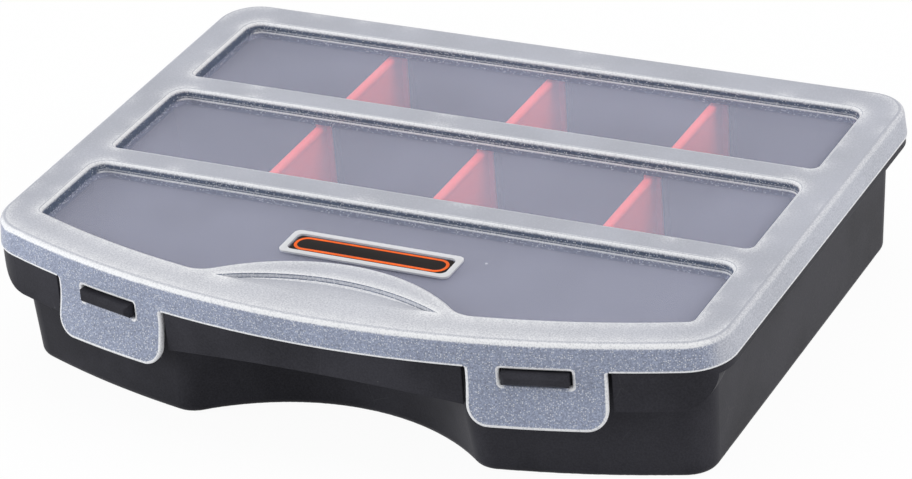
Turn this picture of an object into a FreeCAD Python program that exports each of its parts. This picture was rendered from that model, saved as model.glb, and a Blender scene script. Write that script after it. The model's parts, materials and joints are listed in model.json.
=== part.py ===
# Small parts organizer: shallow tray, hinged and latched lid, three clear panes, six loose dividers.
# Frame in millimetres: +X right, latched front to -Y, +Z up, origin at the middle of the underside.
import FreeCAD, Part
import Sketcher
import math
import os
import re

Vector = FreeCAD.Vector
ABOUT_X = Vector(1, 0, 0)
ABOUT_Y = Vector(0, 1, 0)
ABOUT_Z = Vector(0, 0, 1)
SIDES = (("left", -1), ("right", 1))
COLUMNS = (("left", -1), ("middle", 0), ("right", 1))

document = FreeCAD.newDocument("organizer")
sheet = document.addObject("Spreadsheet::Sheet", "Sizes")

# Driving sizes: name, value, what it measures
SIZES = (
    ("lid_width", 210.0, "lid across its rim"),
    ("lid_depth", 160.4, "lid from the middle of its bowed front to its back edge"),
    ("case_height", 42.3, "underside of the feet to the top of the lid"),
    ("bow_radius", 269.0, "plan radius of the bowed front"),
    ("lid_back_corner", 12.0, "plan radius of the rear corners of the rim"),
    ("lid_front_corner", 14.0, "plan radius of the front corners of the rim"),
    ("lid_wall", 1.8, "wall of the lid"),
    ("rim_height", 7.6, "lid top to the lower edge of the rim"),
    ("rim_lean", 0.7, "how far the rim leans in at its top"),
    ("lid_edge_round", 1.8, "round along the top edge of the rim"),
    ("frame_side", 11.2, "frame beside the panes"),
    ("frame_back", 11.5, "frame behind the rear pane"),
    ("frame_front", 12.2, "frame in front of the front pane"),
    ("bar_width", 8.2, "bar between two panes"),
    ("rear_window", 35.8, "rear pane opening, front to back"),
    ("row_pitch", 45.0, "one bar to the next"),
    ("window_recess", 3.0, "lid top down to the panes"),
    ("window_lean", 0.8, "how far the recess walls lean in"),
    ("window_corner", 4.5, "rear corners of a pane opening"),
    ("window_front_corner", 2.4, "front corners of a pane opening"),
    ("window_lip_round", 1.1, "round where the frame turns down to a pane"),
    ("recess_wall", 1.6, "wall round a pane opening"),
    ("pane_thick", 1.6, "thickness of a pane"),
    ("hump_radius", 54.0, "thumb hump that bulges into the front pane"),
    ("hump_depth", 29.1, "lid front to the rear of the hump"),
    ("hump_blend", 9.0, "round where the hump meets the frame"),
    ("scoop_half", 31.6, "half the width of the thumb scoop"),
    ("scoop_depth", 20.9, "lid front to the rear of the scoop"),
    ("scoop_rise", 7.2, "bow of the scoop's rear edge"),
    ("scoop_sink", 1.1, "depth of the scoop at its rear edge"),
    ("scoop_run", 9.0, "length of the ramp that leads out of the scoop"),
    ("scoop_edge", 0.5, "how far the scoop's rear wall leans"),
    ("scoop_floor", 1.2, "level floor along the scoop's rear wall"),
    ("scoop_low_share", 0.88, "width of the scoop's floor as a share of its mouth"),
    ("badge_length", 45.0, "badge plate"),
    ("badge_width", 7.4, "badge plate"),
    ("badge_thick", 0.7, "badge plate"),
    ("badge_corner", 1.8, "corners of the badge plate"),
    ("badge_play", 0.4, "gap between the badge plate and its lip"),
    ("badge_setback", 20.7, "front bar's edge to the middle of the badge"),
    ("lip_width", 1.6, "raised lip round the badge"),
    ("lip_height", 0.9, "raised lip round the badge"),
    ("parting_gap", 0.2, "rim above the flange of the tray"),
    ("upstand_gap", 0.6, "tray's top edge below the lid's ceiling"),
    ("tray_inset", 5.0, "tray wall inside the rim, at the top"),
    ("tray_back_inset", 3.4, "rear tray wall inside the rim, at the top"),
    ("tray_lean", 1.9, "how far the tray walls lean in at the bottom"),
    ("tray_back_corner", 9.0, "plan radius of the tray's rear corners"),
    ("tray_front_corner", 8.5, "plan radius of the tray's front corners"),
    ("tray_wall", 1.8, "wall of the tray"),
    ("tray_floor", 1.8, "floor of the tray"),
    ("bottom_round", 2.2, "round along the bottom edge of the tray"),
    ("flange_thick", 2.2, "flange under the rim"),
    ("flange_inset", 0.4, "flange inside the rim's outline"),
    ("apron_wall", 1.8, "apron under the front of the flange"),
    ("apron_middle", 5.6, "apron below the flange at the middle"),
    ("apron_ends", 9.0, "apron below the flange beside the latches"),
    ("apron_flat", 14.6, "level stretch of the apron outside a latch"),
    ("apron_end_inset", 1.9, "end of the apron inside the flange's side"),
    ("grip_radius", 64.0, "finger recess at the underside"),
    ("grip_depth", 26.3, "lid front to the rear of the finger recess at the underside"),
    ("foot_corner", 8.0, "round where a foot turns into the finger recess"),
    ("hump_clearance", 0.7, "tray's top edge in front of the hump's recess wall"),
    ("row_wall", 1.6, "wall between two rows"),
    ("divider_spacing", 49.3, "one divider to the next"),
    ("divider_thick", 1.6, "divider plate"),
    ("divider_seat", 0.2, "divider above the floor"),
    ("divider_headroom", 0.9, "divider below the panes"),
    ("divider_play", 0.35, "divider to the walls and guides"),
    ("bead_thick", 2.6, "thick top edge of a divider"),
    ("bead_height", 2.2, "thick top edge of a divider"),
    ("tee_width", 5.0, "cross strip at each end of a divider"),
    ("tee_thick", 1.2, "cross strip at each end of a divider"),
    ("guide_thick", 1.2, "guide rib on a wall"),
    ("guide_reach", 1.8, "guide rib off its wall"),
    ("guide_top_gap", 4.0, "guide rib below the top of the tray"),
    ("latch_place", 60.9, "middle of a latch from the middle of the lid"),
    ("latch_width", 36.0, "latch tab"),
    ("latch_length", 20.1, "latch tab below its flexing root"),
    ("latch_root_drop", 3.2, "flexing root below the top of the lid"),
    ("latch_flare", 2.6, "how far the foot of the tab flares out"),
    ("latch_corner", 5.6, "lower corners of the tab"),
    ("latch_gap", 0.4, "gap beside and above the tab in the rim"),
    ("slot_width", 18.4, "slot in the tab"),
    ("slot_height", 4.6, "slot in the tab"),
    ("slot_drop", 4.3, "slot below the flexing root"),
    ("lug_side_gap", 0.6, "lug to the end of the slot"),
    ("lug_top_gap", 0.5, "lug to the top of the slot"),
    ("lug_under_gap", 0.7, "lug to the bottom of the slot"),
    ("lug_reach", 2.4, "lug beyond the face of the tab"),
    ("lug_chamfer", 1.0, "sloped edges at the tip of the lug"),
    ("latch_bay_gap", 1.0, "tab to the sides of its bay in the apron"),
    ("latch_bay_depth", 1.5, "bay behind the tab"),
    ("hinge_offset", 2.6, "hinge axis behind the rim"),
    ("hinge_drop", 1.2, "hinge axis below the rim's lower edge"),
    ("hinge_place", 62.0, "middle of a hinge from the middle of the lid"),
    ("pin_radius", 1.4, "hinge pin"),
    ("pin_play", 0.05, "hinge clip round its pin"),
    ("knuckle_wall", 1.2, "wall of a hinge clip or ear round the pin"),
    ("clip_width", 20.0, "hinge clip on the lid"),
    ("clip_mouth", 2.2, "snap opening of a hinge clip"),
    ("clip_arm", 2.4, "arm from the rim to the clip"),
    ("ear_thick", 3.0, "hinge ear on the tray"),
    ("ear_gap", 0.4, "hinge clip to its ears"),
    ("overrun", 2.0, "how far a cutting shape passes the face that it cuts"),
)

# Sizes worked out from the driving ones
WORKED_OUT = (
    ("knuckle_radius", "pin_radius + knuckle_wall"),
    ("case_depth", "lid_depth + hinge_offset + knuckle_radius"),
    ("lid_front", "-case_depth / 2"),
    ("lid_back", "lid_front + lid_depth"),
    ("bow_centre", "lid_front + bow_radius"),
    ("rim_bottom", "case_height - rim_height"),
    ("ceiling", "case_height - lid_wall"),
    ("pane_top", "case_height - window_recess"),
    ("pane_bottom", "pane_top - pane_thick"),
    ("upstand_top", "ceiling - upstand_gap"),
    ("flange_top", "rim_bottom - parting_gap"),
    ("flange_bottom", "flange_top - flange_thick"),
    ("ceiling_lean", "rim_lean * (rim_height - lid_wall) / rim_height"),
    ("tray_bottom_inset", "tray_inset + tray_lean"),
    ("tray_back_bottom_inset", "tray_back_inset + tray_lean"),
    ("window_back", "lid_back - frame_back"),
    ("bar_rear", "window_back - rear_window - bar_width / 2"),
    ("bar_front", "bar_rear - row_pitch"),
    ("hump_centre", "lid_front + hump_depth - hump_radius"),
    ("hump_inner_radius", "hump_radius - recess_wall - hump_clearance"),
    ("grip_centre", "lid_front + grip_depth - grip_radius"),
    ("scoop_half_low", "scoop_half * scoop_low_share"),
    ("scoop_rise_low", "scoop_rise * scoop_low_share^2"),
    ("scoop_end", "lid_front + scoop_depth - scoop_rise"),
    ("scoop_end_low", "lid_front + scoop_depth - scoop_edge - scoop_rise_low"),
    ("scoop_fore_rise", "scoop_rise - scoop_run"),
    ("scoop_fore_rise_low", "scoop_rise_low - scoop_floor"),
    ("scoop_level_low", "case_height - scoop_sink"),
    ("badge_place", "bar_front - bar_width / 2 - badge_setback"),
    ("badge_right", "badge_length / 2"),
    ("badge_left", "-badge_length / 2"),
    ("badge_back", "badge_place + badge_width / 2"),
    ("badge_front", "badge_place - badge_width / 2"),
    ("apron_low", "flange_bottom - apron_ends"),
    ("apron_reach", "lid_width / 2 - flange_inset - apron_end_inset"),
    ("apron_inner_end", "latch_place - latch_width / 2"),
    ("apron_level_end", "latch_place + latch_width / 2 + apron_flat"),
    ("apron_start", "-apron_reach"),
    ("apron_level_start", "-apron_level_end"),
    ("apron_inner_start", "-apron_inner_end"),
    ("apron_sweep", "((apron_reach - apron_level_end)^2 + apron_ends^2) / (2 * apron_ends)"),
    ("apron_dip", "apron_ends - apron_middle"),
    ("apron_arch", "(apron_inner_end^2 + apron_dip^2) / (2 * apron_dip)"),
    ("divider_bottom", "tray_floor + divider_seat"),
    ("divider_top", "pane_bottom - divider_headroom"),
    ("guide_top", "upstand_top - guide_top_gap"),
    ("guide_place", "tee_width / 2 + divider_play"),
    ("row_guide_reach", "row_wall / 2 + guide_reach"),
    ("back_face_top", "lid_back - tray_back_inset - tray_wall"),
    ("back_face_floor", "back_face_top - tray_lean * (1 - tray_floor / upstand_top)"),
    ("rear_front", "bar_rear + row_wall / 2 + divider_play"),
    ("rear_low", "back_face_top - tray_lean * (1 - divider_bottom / upstand_top) - divider_play"),
    ("rear_high", "back_face_top - tray_lean * (1 - divider_top / upstand_top) - divider_play"),
    ("middle_front", "bar_front + row_wall / 2 + divider_play"),
    ("middle_low", "bar_rear - row_wall / 2 - divider_play"),
    ("middle_high", "middle_low"),
    ("rear_strip_front", "rear_front + tee_thick"),
    ("rear_strip_low", "rear_low - tee_thick"),
    ("rear_strip_high", "rear_high - tee_thick"),
    ("middle_strip_front", "middle_front + tee_thick"),
    ("middle_strip_low", "middle_low - tee_thick"),
    ("middle_strip_high", "middle_high - tee_thick"),
    ("bead_bottom", "divider_top - bead_height"),
    ("back_wall_lean", "atan(tray_lean / upstand_top) / 1 deg"),
    ("latch_turn", "asin(latch_place / bow_radius) / 1 deg"),
    ("latch_sag", "bow_radius - sqrt(bow_radius^2 - latch_width^2 / 4)"),
    ("latch_root", "case_height - latch_root_drop"),
    ("latch_root_lean", "rim_lean * (latch_root - rim_bottom) / rim_height"),
    ("latch_root_radius", "bow_radius - latch_root_lean - lid_wall / 2 - latch_sag / 2"),
    ("latch_x", "latch_root_radius * latch_place / bow_radius"),
    ("latch_y", "bow_centre - latch_root_radius * sqrt(1 - (latch_place / bow_radius)^2)"),
    ("tab_root_in", "lid_wall / 2"),
    ("tab_root_out", "-lid_wall / 2"),
    ("tab_out", "-lid_wall / 2 - latch_root_lean"),
    ("tab_in", "tab_out + lid_wall"),
    ("tab_toe_out", "tab_out - latch_flare"),
    ("tab_toe_in", "tab_toe_out + lid_wall"),
    ("tab_root_level", "0"),
    ("underside", "0"),
    ("tab_rim_level", "rim_bottom - latch_root"),
    ("tab_bend_level", "-slot_drop - slot_height"),
    ("tab_toe_level", "-latch_length"),
    ("slot_top", "-slot_drop"),
    ("slot_end", "slot_width / 2"),
    ("slot_start", "-slot_width / 2"),
    ("lug_level", "latch_root - slot_drop - slot_height / 2"),
    ("lug_wall_lean", "tray_lean * (1 - lug_level / upstand_top)"),
    ("lug_inner", "latch_root_radius - bow_radius + tray_inset + lug_wall_lean + tray_wall / 2"),
    ("hinge_y", "lid_back + hinge_offset"),
    ("hinge_z", "rim_bottom - hinge_drop"),
    ("bore_radius", "pin_radius + pin_play"),
    ("pin_length", "clip_width + 2 * ear_gap + 2 * ear_thick"),
)


def cells(rows):
    """Adds rows of name, text and note to the sheet, each value under its own alias."""
    first = cells.used
    for number, (alias, text, note) in enumerate(rows, first + 1):
        sheet.set("A%d" % number, alias)
        sheet.set("B%d" % number, text)
        sheet.setAlias("B%d" % number, alias)
        sheet.set("C%d" % number, note)
    cells.used += len(rows)
    document.recompute()


cells.used = 0


def size(alias):
    return float(sheet.get(alias))


def formula(text):
    """An expression in sizes, with each size read from the sheet."""
    return re.sub(r"\b(?!deg\b|abs\b|atan\b|asin\b|sqrt\b)[a-z_]+\b", r"Sizes.\g<0>", text)


def bind(item, **places):
    """Binds properties to expressions in sizes; x, y, z and turn are parts of the Placement."""
    paths = {
        "x": "Placement.Base.x",
        "y": "Placement.Base.y",
        "z": "Placement.Base.z",
        "turn": "Placement.Rotation.Angle",
    }
    for name, text in places.items():
        item.setExpression(paths.get(name, name), formula(text))
    return item


def turned(item, axis, angle=0.0):
    item.Placement = FreeCAD.Placement(Vector(), FreeCAD.Rotation(axis, angle))
    return item


def outline_sizes(prefix, inset, back_inset, owner, corner_inset):
    """The plan outline of the rim, drawn in by an inset, with its owner's corners: sizes for the sheet."""
    rows = (
        ("half", "lid_width / 2 - (%s)" % inset),
        ("back", "lid_back - (%s)" % back_inset),
        ("bow", "bow_radius - (%s)" % inset),
        ("rear_corner", "%s_back_corner - (%s)" % (owner, corner_inset)),
        ("front_corner", "%s_front_corner - (%s)" % (owner, corner_inset)),
    )
    cells([("%s_%s" % (prefix, name), "=" + text, "plan outline") for name, text in rows])


def grip_sizes(prefix, radius, centre, corner):
    """The arc that an outline turns in along at the middle of the front: its sizes go to the sheet."""
    rows = (("grip", radius), ("grip_centre", centre), ("grip_corner", corner))
    cells([("%s_%s" % (prefix, name), "=" + text, "front arc") for name, text in rows])


def window_sizes(prefix, outset, back, front):
    """A pane opening with straight sides, grown by an outset: its sizes go to the sheet."""
    rows = (
        ("half", "lid_width / 2 - frame_side + (%s)" % outset),
        ("left", "-lid_width / 2 + frame_side - (%s)" % outset),
        ("back", "%s + (%s)" % (back, outset)),
        ("front", "%s - (%s)" % (front, outset)),
        ("bow", "bow_radius - frame_front + (%s)" % outset),
        ("rear_corner", "window_corner + (%s)" % outset),
        ("front_corner", "window_front_corner + (%s)" % outset),
    )
    cells([("%s_%s" % (prefix, name), "=" + text, "pane opening") for name, text in rows])
    grip_sizes(prefix, "hump_radius - (%s)" % outset, "hump_centre", "hump_blend + (%s)" % outset)


def arc(sketch, centre, radius, start, end):
    """An arc that runs anticlockwise from one point to another."""
    angles = [math.atan2(p.y - centre.y, p.x - centre.x) for p in (start, end)]
    if angles[1] < angles[0]:
        angles[1] += 2 * math.pi
    return sketch.addGeometry(Part.ArcOfCircle(Part.Circle(centre, ABOUT_Z, radius), *angles))


def measure(sketch, kind, alias, *place):
    """A driving constraint that takes its value from the sheet."""
    number = sketch.addConstraint(Sketcher.Constraint(kind, *place, size(alias)))
    sketch.setExpression("Constraints[%d]" % number, "Sizes." + alias)


def join(sketch, runs, kind):
    """Joins runs of (geometry, first point, last point) into a closed outline."""
    for (one, _, end), (two, start, _) in zip(runs, runs[1:] + runs[:1]):
        sketch.addConstraint(Sketcher.Constraint(kind, one, end, two, start))


def towards(centre, point, radius):
    """The point of a circle that lies in the direction of another point."""
    return centre + (point - centre).normalize() * radius


def plan_sketch(name, height):
    sketch = document.addObject("Sketcher::SketchObject", name)
    return bind(sketch, z=height)


def bowed_outline(name, prefix, height, grip=False):
    """The rim's plan outline: straight sides, bowed front, rounded corners; grip adds the front arc."""
    half, back, bow, rear, front = (
        size("%s_%s" % (prefix, part)) for part in ("half", "back", "bow", "rear_corner", "front_corner")
    )
    sketch = plan_sketch(name, height)
    middle = Vector(0, size("bow_centre"), 0)
    corner_y = middle.y - math.sqrt((bow - front) ** 2 - (half - front) ** 2)
    turns = {side: Vector(side * (half - front), corner_y, 0) for side in (-1, 1)}
    feet = {side: towards(middle, turns[side], bow) for side in (-1, 1)}

    runs = []

    def line(start, end):
        runs.append((sketch.addGeometry(Part.LineSegment(start, end)), 1, 2))
        return runs[-1][0]

    def bend(centre, radius, start, end, backwards=False):
        first, last = (end, start) if backwards else (start, end)
        number = arc(sketch, centre, radius, first, last)
        runs.append((number, 2, 1) if backwards else (number, 1, 2))
        return number

    right_low, right_high = Vector(half, corner_y, 0), Vector(half, back - rear, 0)
    back_right, back_left = Vector(half - rear, back, 0), Vector(rear - half, back, 0)
    left_high, left_low = Vector(-half, back - rear, 0), Vector(-half, corner_y, 0)
    right = line(right_low, right_high)
    bends = [bend(Vector(half - rear, back - rear, 0), rear, right_high, back_right)]
    rear_line = line(back_right, back_left)
    bends.append(bend(Vector(rear - half, back - rear, 0), rear, back_left, left_high))
    left = line(left_high, left_low)
    bends.append(bend(turns[-1], front, left_low, feet[-1]))
    if grip:
        radius, round_off = size(prefix + "_grip"), size(prefix + "_grip_corner")
        hollow = Vector(0, size(prefix + "_grip_centre"), 0)
        reach = (radius + round_off) ** 2 - (bow - round_off) ** 2
        y = (reach / (middle.y - hollow.y) + hollow.y + middle.y) / 2
        x = math.sqrt((bow - round_off) ** 2 - (y - middle.y) ** 2)
        knees = {side: Vector(side * x, y, 0) for side in (-1, 1)}
        outer = {side: towards(middle, knees[side], bow) for side in (-1, 1)}
        inner = {side: towards(hollow, knees[side], radius) for side in (-1, 1)}
        bows = [bend(middle, bow, feet[-1], outer[-1])]
        rounds = [bend(knees[-1], round_off, outer[-1], inner[-1])]
        dip = bend(hollow, radius, inner[-1], inner[1], backwards=True)
        rounds.append(bend(knees[1], round_off, inner[1], outer[1]))
        bows.append(bend(middle, bow, outer[1], feet[1]))
    else:
        bows = [bend(middle, bow, feet[-1], feet[1])]
    bends.append(bend(turns[1], front, feet[1], right_low))

    join(sketch, runs, "Tangent")
    sketch.addConstraint([Sketcher.Constraint("Vertical", right), Sketcher.Constraint("Vertical", left)])
    sketch.addConstraint(Sketcher.Constraint("Horizontal", rear_line))
    measure(sketch, "DistanceX", prefix + "_half", -1, 1, right, 1)
    measure(sketch, "DistanceX", prefix + "_half", left, 1, -1, 1)
    measure(sketch, "DistanceY", prefix + "_back", -1, 1, rear_line, 1)
    for number, part in zip(bends, ("rear_corner", "rear_corner", "front_corner", "front_corner")):
        measure(sketch, "Radius", "%s_%s" % (prefix, part), number)
    for number in bows:
        sketch.addConstraint(Sketcher.Constraint("PointOnObject", number, 3, -2))
        measure(sketch, "DistanceY", "bow_centre", -1, 1, number, 3)
        measure(sketch, "Radius", prefix + "_bow", number)
    if grip:
        sketch.addConstraint(Sketcher.Constraint("PointOnObject", dip, 3, -2))
        measure(sketch, "DistanceY", prefix + "_grip_centre", -1, 1, dip, 3)
        measure(sketch, "Radius", prefix + "_grip", dip)
        for number in rounds:
            measure(sketch, "Radius", prefix + "_grip_corner", number)
    return sketch


def polygon(sketch, corners):
    """A closed outline of straight runs, each corner given as two sizes of the sheet."""
    points = [Vector(size(x), size(y), 0) for x, y in corners]
    runs = [
        (sketch.addGeometry(Part.LineSegment(start, end)), 1, 2)
        for start, end in zip(points, points[1:] + points[:1])
    ]
    join(sketch, runs, "Coincident")
    for (number, first, _), (x, y) in zip(runs, corners):
        measure(sketch, "DistanceX", x, -1, 1, number, first)
        measure(sketch, "DistanceY", y, -1, 1, number, first)


def rectangle(sketch, left, right, low, high):
    """A closed outline between four sizes of the sheet."""
    polygon(sketch, ((left, low), (right, low), (right, high), (left, high)))


def box(name, x, y, z, low_x, low_y, low_z):
    """A block of the given sizes with its low corner in place."""
    block = document.addObject("Part::Box", name)
    return bind(block, Length=x, Width=y, Height=z, x=low_x, y=low_y, z=low_z)


def slab(name, thick, low_z):
    """A level block as wide and deep as the whole case."""
    return box(name, "lid_width", "case_depth", thick, "-lid_width / 2", "-case_depth / 2", low_z)


def rod(name, radius, length, low_x):
    """A round bar along the hinge axis."""
    bar = turned(document.addObject("Part::Cylinder", name), ABOUT_Y, 90)
    return bind(bar, Radius=radius, Height=length, x=low_x, y="hinge_y", z="hinge_z")


def loft(name, *sections):
    solid = document.addObject("Part::Loft", name)
    solid.Sections = list(sections)
    solid.Solid = True
    solid.Ruled = True
    return solid


def extrusion(name, sketch, height, direction=ABOUT_Z):
    solid = document.addObject("Part::Extrusion", name)
    solid.Base = sketch
    solid.DirMode = "Custom"
    solid.Dir = direction
    solid.Solid = True
    return bind(solid, LengthFwd=height)


def fuse(name, *parts):
    whole = document.addObject("Part::MultiFuse", name)
    whole.Shapes = list(parts)
    return whole


def common(name, *parts):
    shared = document.addObject("Part::MultiCommon", name)
    shared.Shapes = list(parts)
    return shared


def cut(name, base, *tools):
    tool = tools[0] if len(tools) == 1 else fuse(name + "_tools", *tools)
    rest = document.addObject("Part::Cut", name)
    rest.Base = base
    rest.Tool = tool
    return rest


def rounded(name, base, radius, wanted):
    """Rounds the edges of a solid that pass a test."""
    document.recompute()
    numbers = [n for n, edge in enumerate(base.Shape.Edges, 1) if wanted(edge)]
    smooth = document.addObject("Part::Fillet", name)
    smooth.Base = base
    smooth.Edges = [(n, size(radius), size(radius)) for n in numbers]
    return smooth


def at_height(edge, height):
    """True for an edge that lies in one level plane."""
    levels = (edge.BoundBox.ZMin, edge.BoundBox.ZMax)
    return all(abs(level - size(height)) < span_tolerance for level in levels)


def body_sketch(body, name, role):
    sketch = body.newObject("Sketcher::SketchObject", name)
    plane = [item for item in body.Origin.OriginFeatures if item.Role == role][0]
    sketch.AttachmentSupport = [(plane, "")]
    sketch.MapMode = "FlatFace"
    return sketch


def pad(body, name, sketch, length):
    """A pad that grows equally to both sides of its sketch."""
    feature = body.newObject("PartDesign::Pad", name)
    feature.Profile = sketch
    feature.SideType = "Symmetric"
    return bind(feature, Length=length)


span_tolerance = 1e-4
cells([(alias, str(value), note) for alias, value, note in SIZES])
cells([(alias, "=" + text, "worked out") for alias, text in WORKED_OUT])

# Plan outlines: the rim's and the tray's, drawn in for each wall, and the pane openings between the bars
LID_OUTLINES = (
    ("rim", "0"),
    ("crown", "rim_lean"),
    ("rim_inner", "lid_wall"),
    ("ceiling_inner", "lid_wall + ceiling_lean"),
    ("flange", "flange_inset"),
    ("apron_inner", "flange_inset + apron_wall"),
)
TRAY_OUTLINES = (
    ("tray_top", "tray_inset", "tray_back_inset", "0"),
    ("tray_foot", "tray_bottom_inset", "tray_back_bottom_inset", "0"),
    ("hollow_top", "tray_inset + tray_wall", "tray_back_inset + tray_wall", "tray_wall"),
    ("hollow_foot", "tray_bottom_inset + tray_wall", "tray_back_bottom_inset + tray_wall", "tray_wall"),
)
GRIPS = (
    ("tray_top", "hump_inner_radius - tray_wall", "hump_centre", "foot_corner"),
    ("tray_foot", "grip_radius", "grip_centre", "foot_corner"),
    ("hollow_top", "hump_inner_radius", "hump_centre", "foot_corner - tray_wall"),
    ("hollow_foot", "grip_radius + tray_wall", "grip_centre", "foot_corner - tray_wall"),
)
WINDOWS = (
    ("rear", "window_back", "bar_rear + bar_width / 2"),
    ("middle", "bar_rear - bar_width / 2", "bar_front + bar_width / 2"),
    ("front", "bar_front - bar_width / 2", "lid_front + frame_front"),
)
for name, inset in LID_OUTLINES:
    outline_sizes(name, inset, inset, "lid", inset)
for name, inset, back_inset, corner_inset in TRAY_OUTLINES:
    outline_sizes(name, inset, back_inset, "tray", corner_inset)
for grip in GRIPS:
    grip_sizes(*grip)
for row, back, front in WINDOWS:
    window_sizes(row + "_mouth", "0", back, front)
    window_sizes(row + "_foot", "-window_lean", back, front)
    window_sizes(row + "_wall", "recess_wall", back, front)

# Lid shell: drafted rim, rounded top edge, hollow underneath
lid_block = loft(
    "lid_block",
    bowed_outline("rim_line", "rim", "rim_bottom"),
    bowed_outline("crown_line", "crown", "case_height"),
)
lid_round = rounded("lid_round", lid_block, "lid_edge_round", lambda edge: at_height(edge, "case_height"))
lid_hollow = loft(
    "lid_hollow",
    bowed_outline("rim_inner_line", "rim_inner", "rim_bottom"),
    bowed_outline("ceiling_line", "ceiling_inner", "ceiling"),
)


# Pane openings: drafted recesses with a wall round each
def straight_outline(name, prefix, height):
    """A rectangle with rounded corners, the rear pair and the front pair alike."""
    names = ("half", "back", "front", "rear_corner", "front_corner")
    half, back, front, rear_corner, front_corner = (size("%s_%s" % (prefix, part)) for part in names)
    sketch = plan_sketch(name, height)
    corners = (
        (Vector(half, back, 0), "rear_corner", rear_corner, Vector(-1, 0, 0)),
        (Vector(-half, back, 0), "rear_corner", rear_corner, Vector(0, -1, 0)),
        (Vector(-half, front, 0), "front_corner", front_corner, Vector(1, 0, 0)),
        (Vector(half, front, 0), "front_corner", front_corner, Vector(0, 1, 0)),
    )
    ways = [corner[3] for corner in corners]
    runs = []
    for (point, part, radius, way), (following, _, reach, _), before in zip(
        corners, corners[1:] + corners[:1], ways[-1:] + ways[:-1]
    ):
        centre = point - before * radius + way * radius
        bend = arc(sketch, centre, radius, point - before * radius, point + way * radius)
        measure(sketch, "Radius", "%s_%s" % (prefix, part), bend)
        side = sketch.addGeometry(Part.LineSegment(point + way * radius, following - way * reach))
        runs += [(bend, 1, 2), (side, 1, 2)]
    join(sketch, runs, "Tangent")
    rear, left, fore, right = (number for number, _, _ in runs[1::2])
    for kind, pair in (("Horizontal", (rear, fore)), ("Vertical", (left, right))):
        for number in pair:
            sketch.addConstraint(Sketcher.Constraint(kind, number))
    measure(sketch, "DistanceY", prefix + "_back", -1, 1, rear, 1)
    measure(sketch, "DistanceY", prefix + "_front", -1, 1, fore, 1)
    measure(sketch, "DistanceX", prefix + "_left", -1, 1, left, 1)
    measure(sketch, "DistanceX", prefix + "_half", -1, 1, right, 1)
    return sketch


def window_outline(name, prefix, height):
    if prefix.startswith("front"):
        return bowed_outline(name, prefix, height, grip=True)
    return straight_outline(name, prefix, height)


openings = {}
recess_blocks = []
recess_height = "ceiling - pane_bottom + lid_wall / 2"
for row, _, _ in WINDOWS:
    mouth, foot, wall = row + "_mouth", row + "_foot", row + "_wall"
    openings[row] = loft(
        row + "_opening",
        window_outline(foot + "_line", foot, "pane_bottom"),
        window_outline(mouth + "_line", mouth, "case_height"),
    )
    wall_line = window_outline(wall + "_line", wall, "pane_bottom")
    recess_blocks.append(extrusion(row + "_recess_block", wall_line, recess_height))
lid_shell = cut("lid_shell", lid_round, lid_hollow)
lid_walled = fuse("lid_walled", lid_shell, *recess_blocks)
lid_open = cut("lid_open", lid_walled, *openings.values())


def on_lip(edge):
    """True for an edge where the frame turns down to a pane."""
    point = edge.valueAt((edge.FirstParameter + edge.LastParameter) / 2)
    beside = abs(point.x) < (size("lid_width") - size("frame_side")) / 2
    behind = point.y < size("lid_back") - size("frame_back") / 2
    reach = math.hypot(point.x, point.y - size("bow_centre"))
    inside = reach < size("bow_radius") - size("frame_front") / 2
    return at_height(edge, "case_height") and beside and behind and inside


lid_lipped = rounded("lid_lipped", lid_open, "window_lip_round", on_lip)


# Thumb scoop: a crescent with a steep rear wall and a floor that ramps up to the front
def crescent(name, height, half, end, rear_rise, fore_rise):
    """Two arcs between the same two ends; a rise counts to the rear."""
    sketch = plan_sketch(name, height)
    ends = [Vector(side * size(half), size(end), 0) for side in (1, -1)]
    numbers = []
    for rise in (size(rear_rise), size(fore_rise)):
        radius = (size(half) ** 2 + rise**2) / (2 * abs(rise))
        centre = Vector(0, size(end) + rise - math.copysign(radius, rise), 0)
        first, last = ends if rise > 0 else reversed(ends)
        numbers.append((arc(sketch, centre, radius, first, last), rise > 0))
    rear, fore = numbers[0][0], numbers[1][0]
    fore_right, fore_left = (1, 2) if numbers[1][1] else (2, 1)
    sketch.addConstraint(Sketcher.Constraint("Coincident", rear, 1, fore, fore_right))
    sketch.addConstraint(Sketcher.Constraint("Coincident", rear, 2, fore, fore_left))
    sketch.addConstraint(Sketcher.Constraint("Symmetric", rear, 1, rear, 2, -2))
    measure(sketch, "DistanceX", half, -1, 1, rear, 1)
    measure(sketch, "DistanceY", end, -1, 1, rear, 1)
    for (number, _), rise in zip(numbers, (rear_rise, fore_rise)):
        bend = sketch.addConstraint(Sketcher.Constraint("Radius", number, sketch.Geometry[number].Radius))
        rule = "(%s^2 + %s^2) / (2 * abs(%s))" % (half, rise, rise)
        sketch.setExpression("Constraints[%d]" % bend, formula(rule))
    return sketch


scoop = loft(
    "scoop",
    crescent(
        "scoop_low_line",
        "scoop_level_low",
        "scoop_half_low",
        "scoop_end_low",
        "scoop_rise_low",
        "scoop_fore_rise_low",
    ),
    crescent("scoop_line", "case_height", "scoop_half", "scoop_end", "scoop_rise", "scoop_fore_rise"),
)


# Latch frame: origin on the flexing root of a tab, -Y straight out of the bowed front
def latch_body(name, sign):
    body = turned(document.addObject("PartDesign::Body", name), ABOUT_Z)
    way = "-" if sign < 0 else ""
    return bind(body, turn=way + "latch_turn", x=way + "latch_x", y="latch_y", z="latch_root")


def latch_block(name, sign, half, y_low, y_high, z_low, z_high):
    """A block in the frame of a latch, equally wide to both sides."""
    body = latch_body(name, sign)
    block = body.newObject("PartDesign::AdditiveBox", name + "_block")
    bind(block, Length="2 * (%s)" % half, x="-(%s)" % half, y=y_low, z=z_low)
    bind(block, Width="(%s) - (%s)" % (y_high, y_low), Height="(%s) - (%s)" % (z_high, z_low))
    return body


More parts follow.
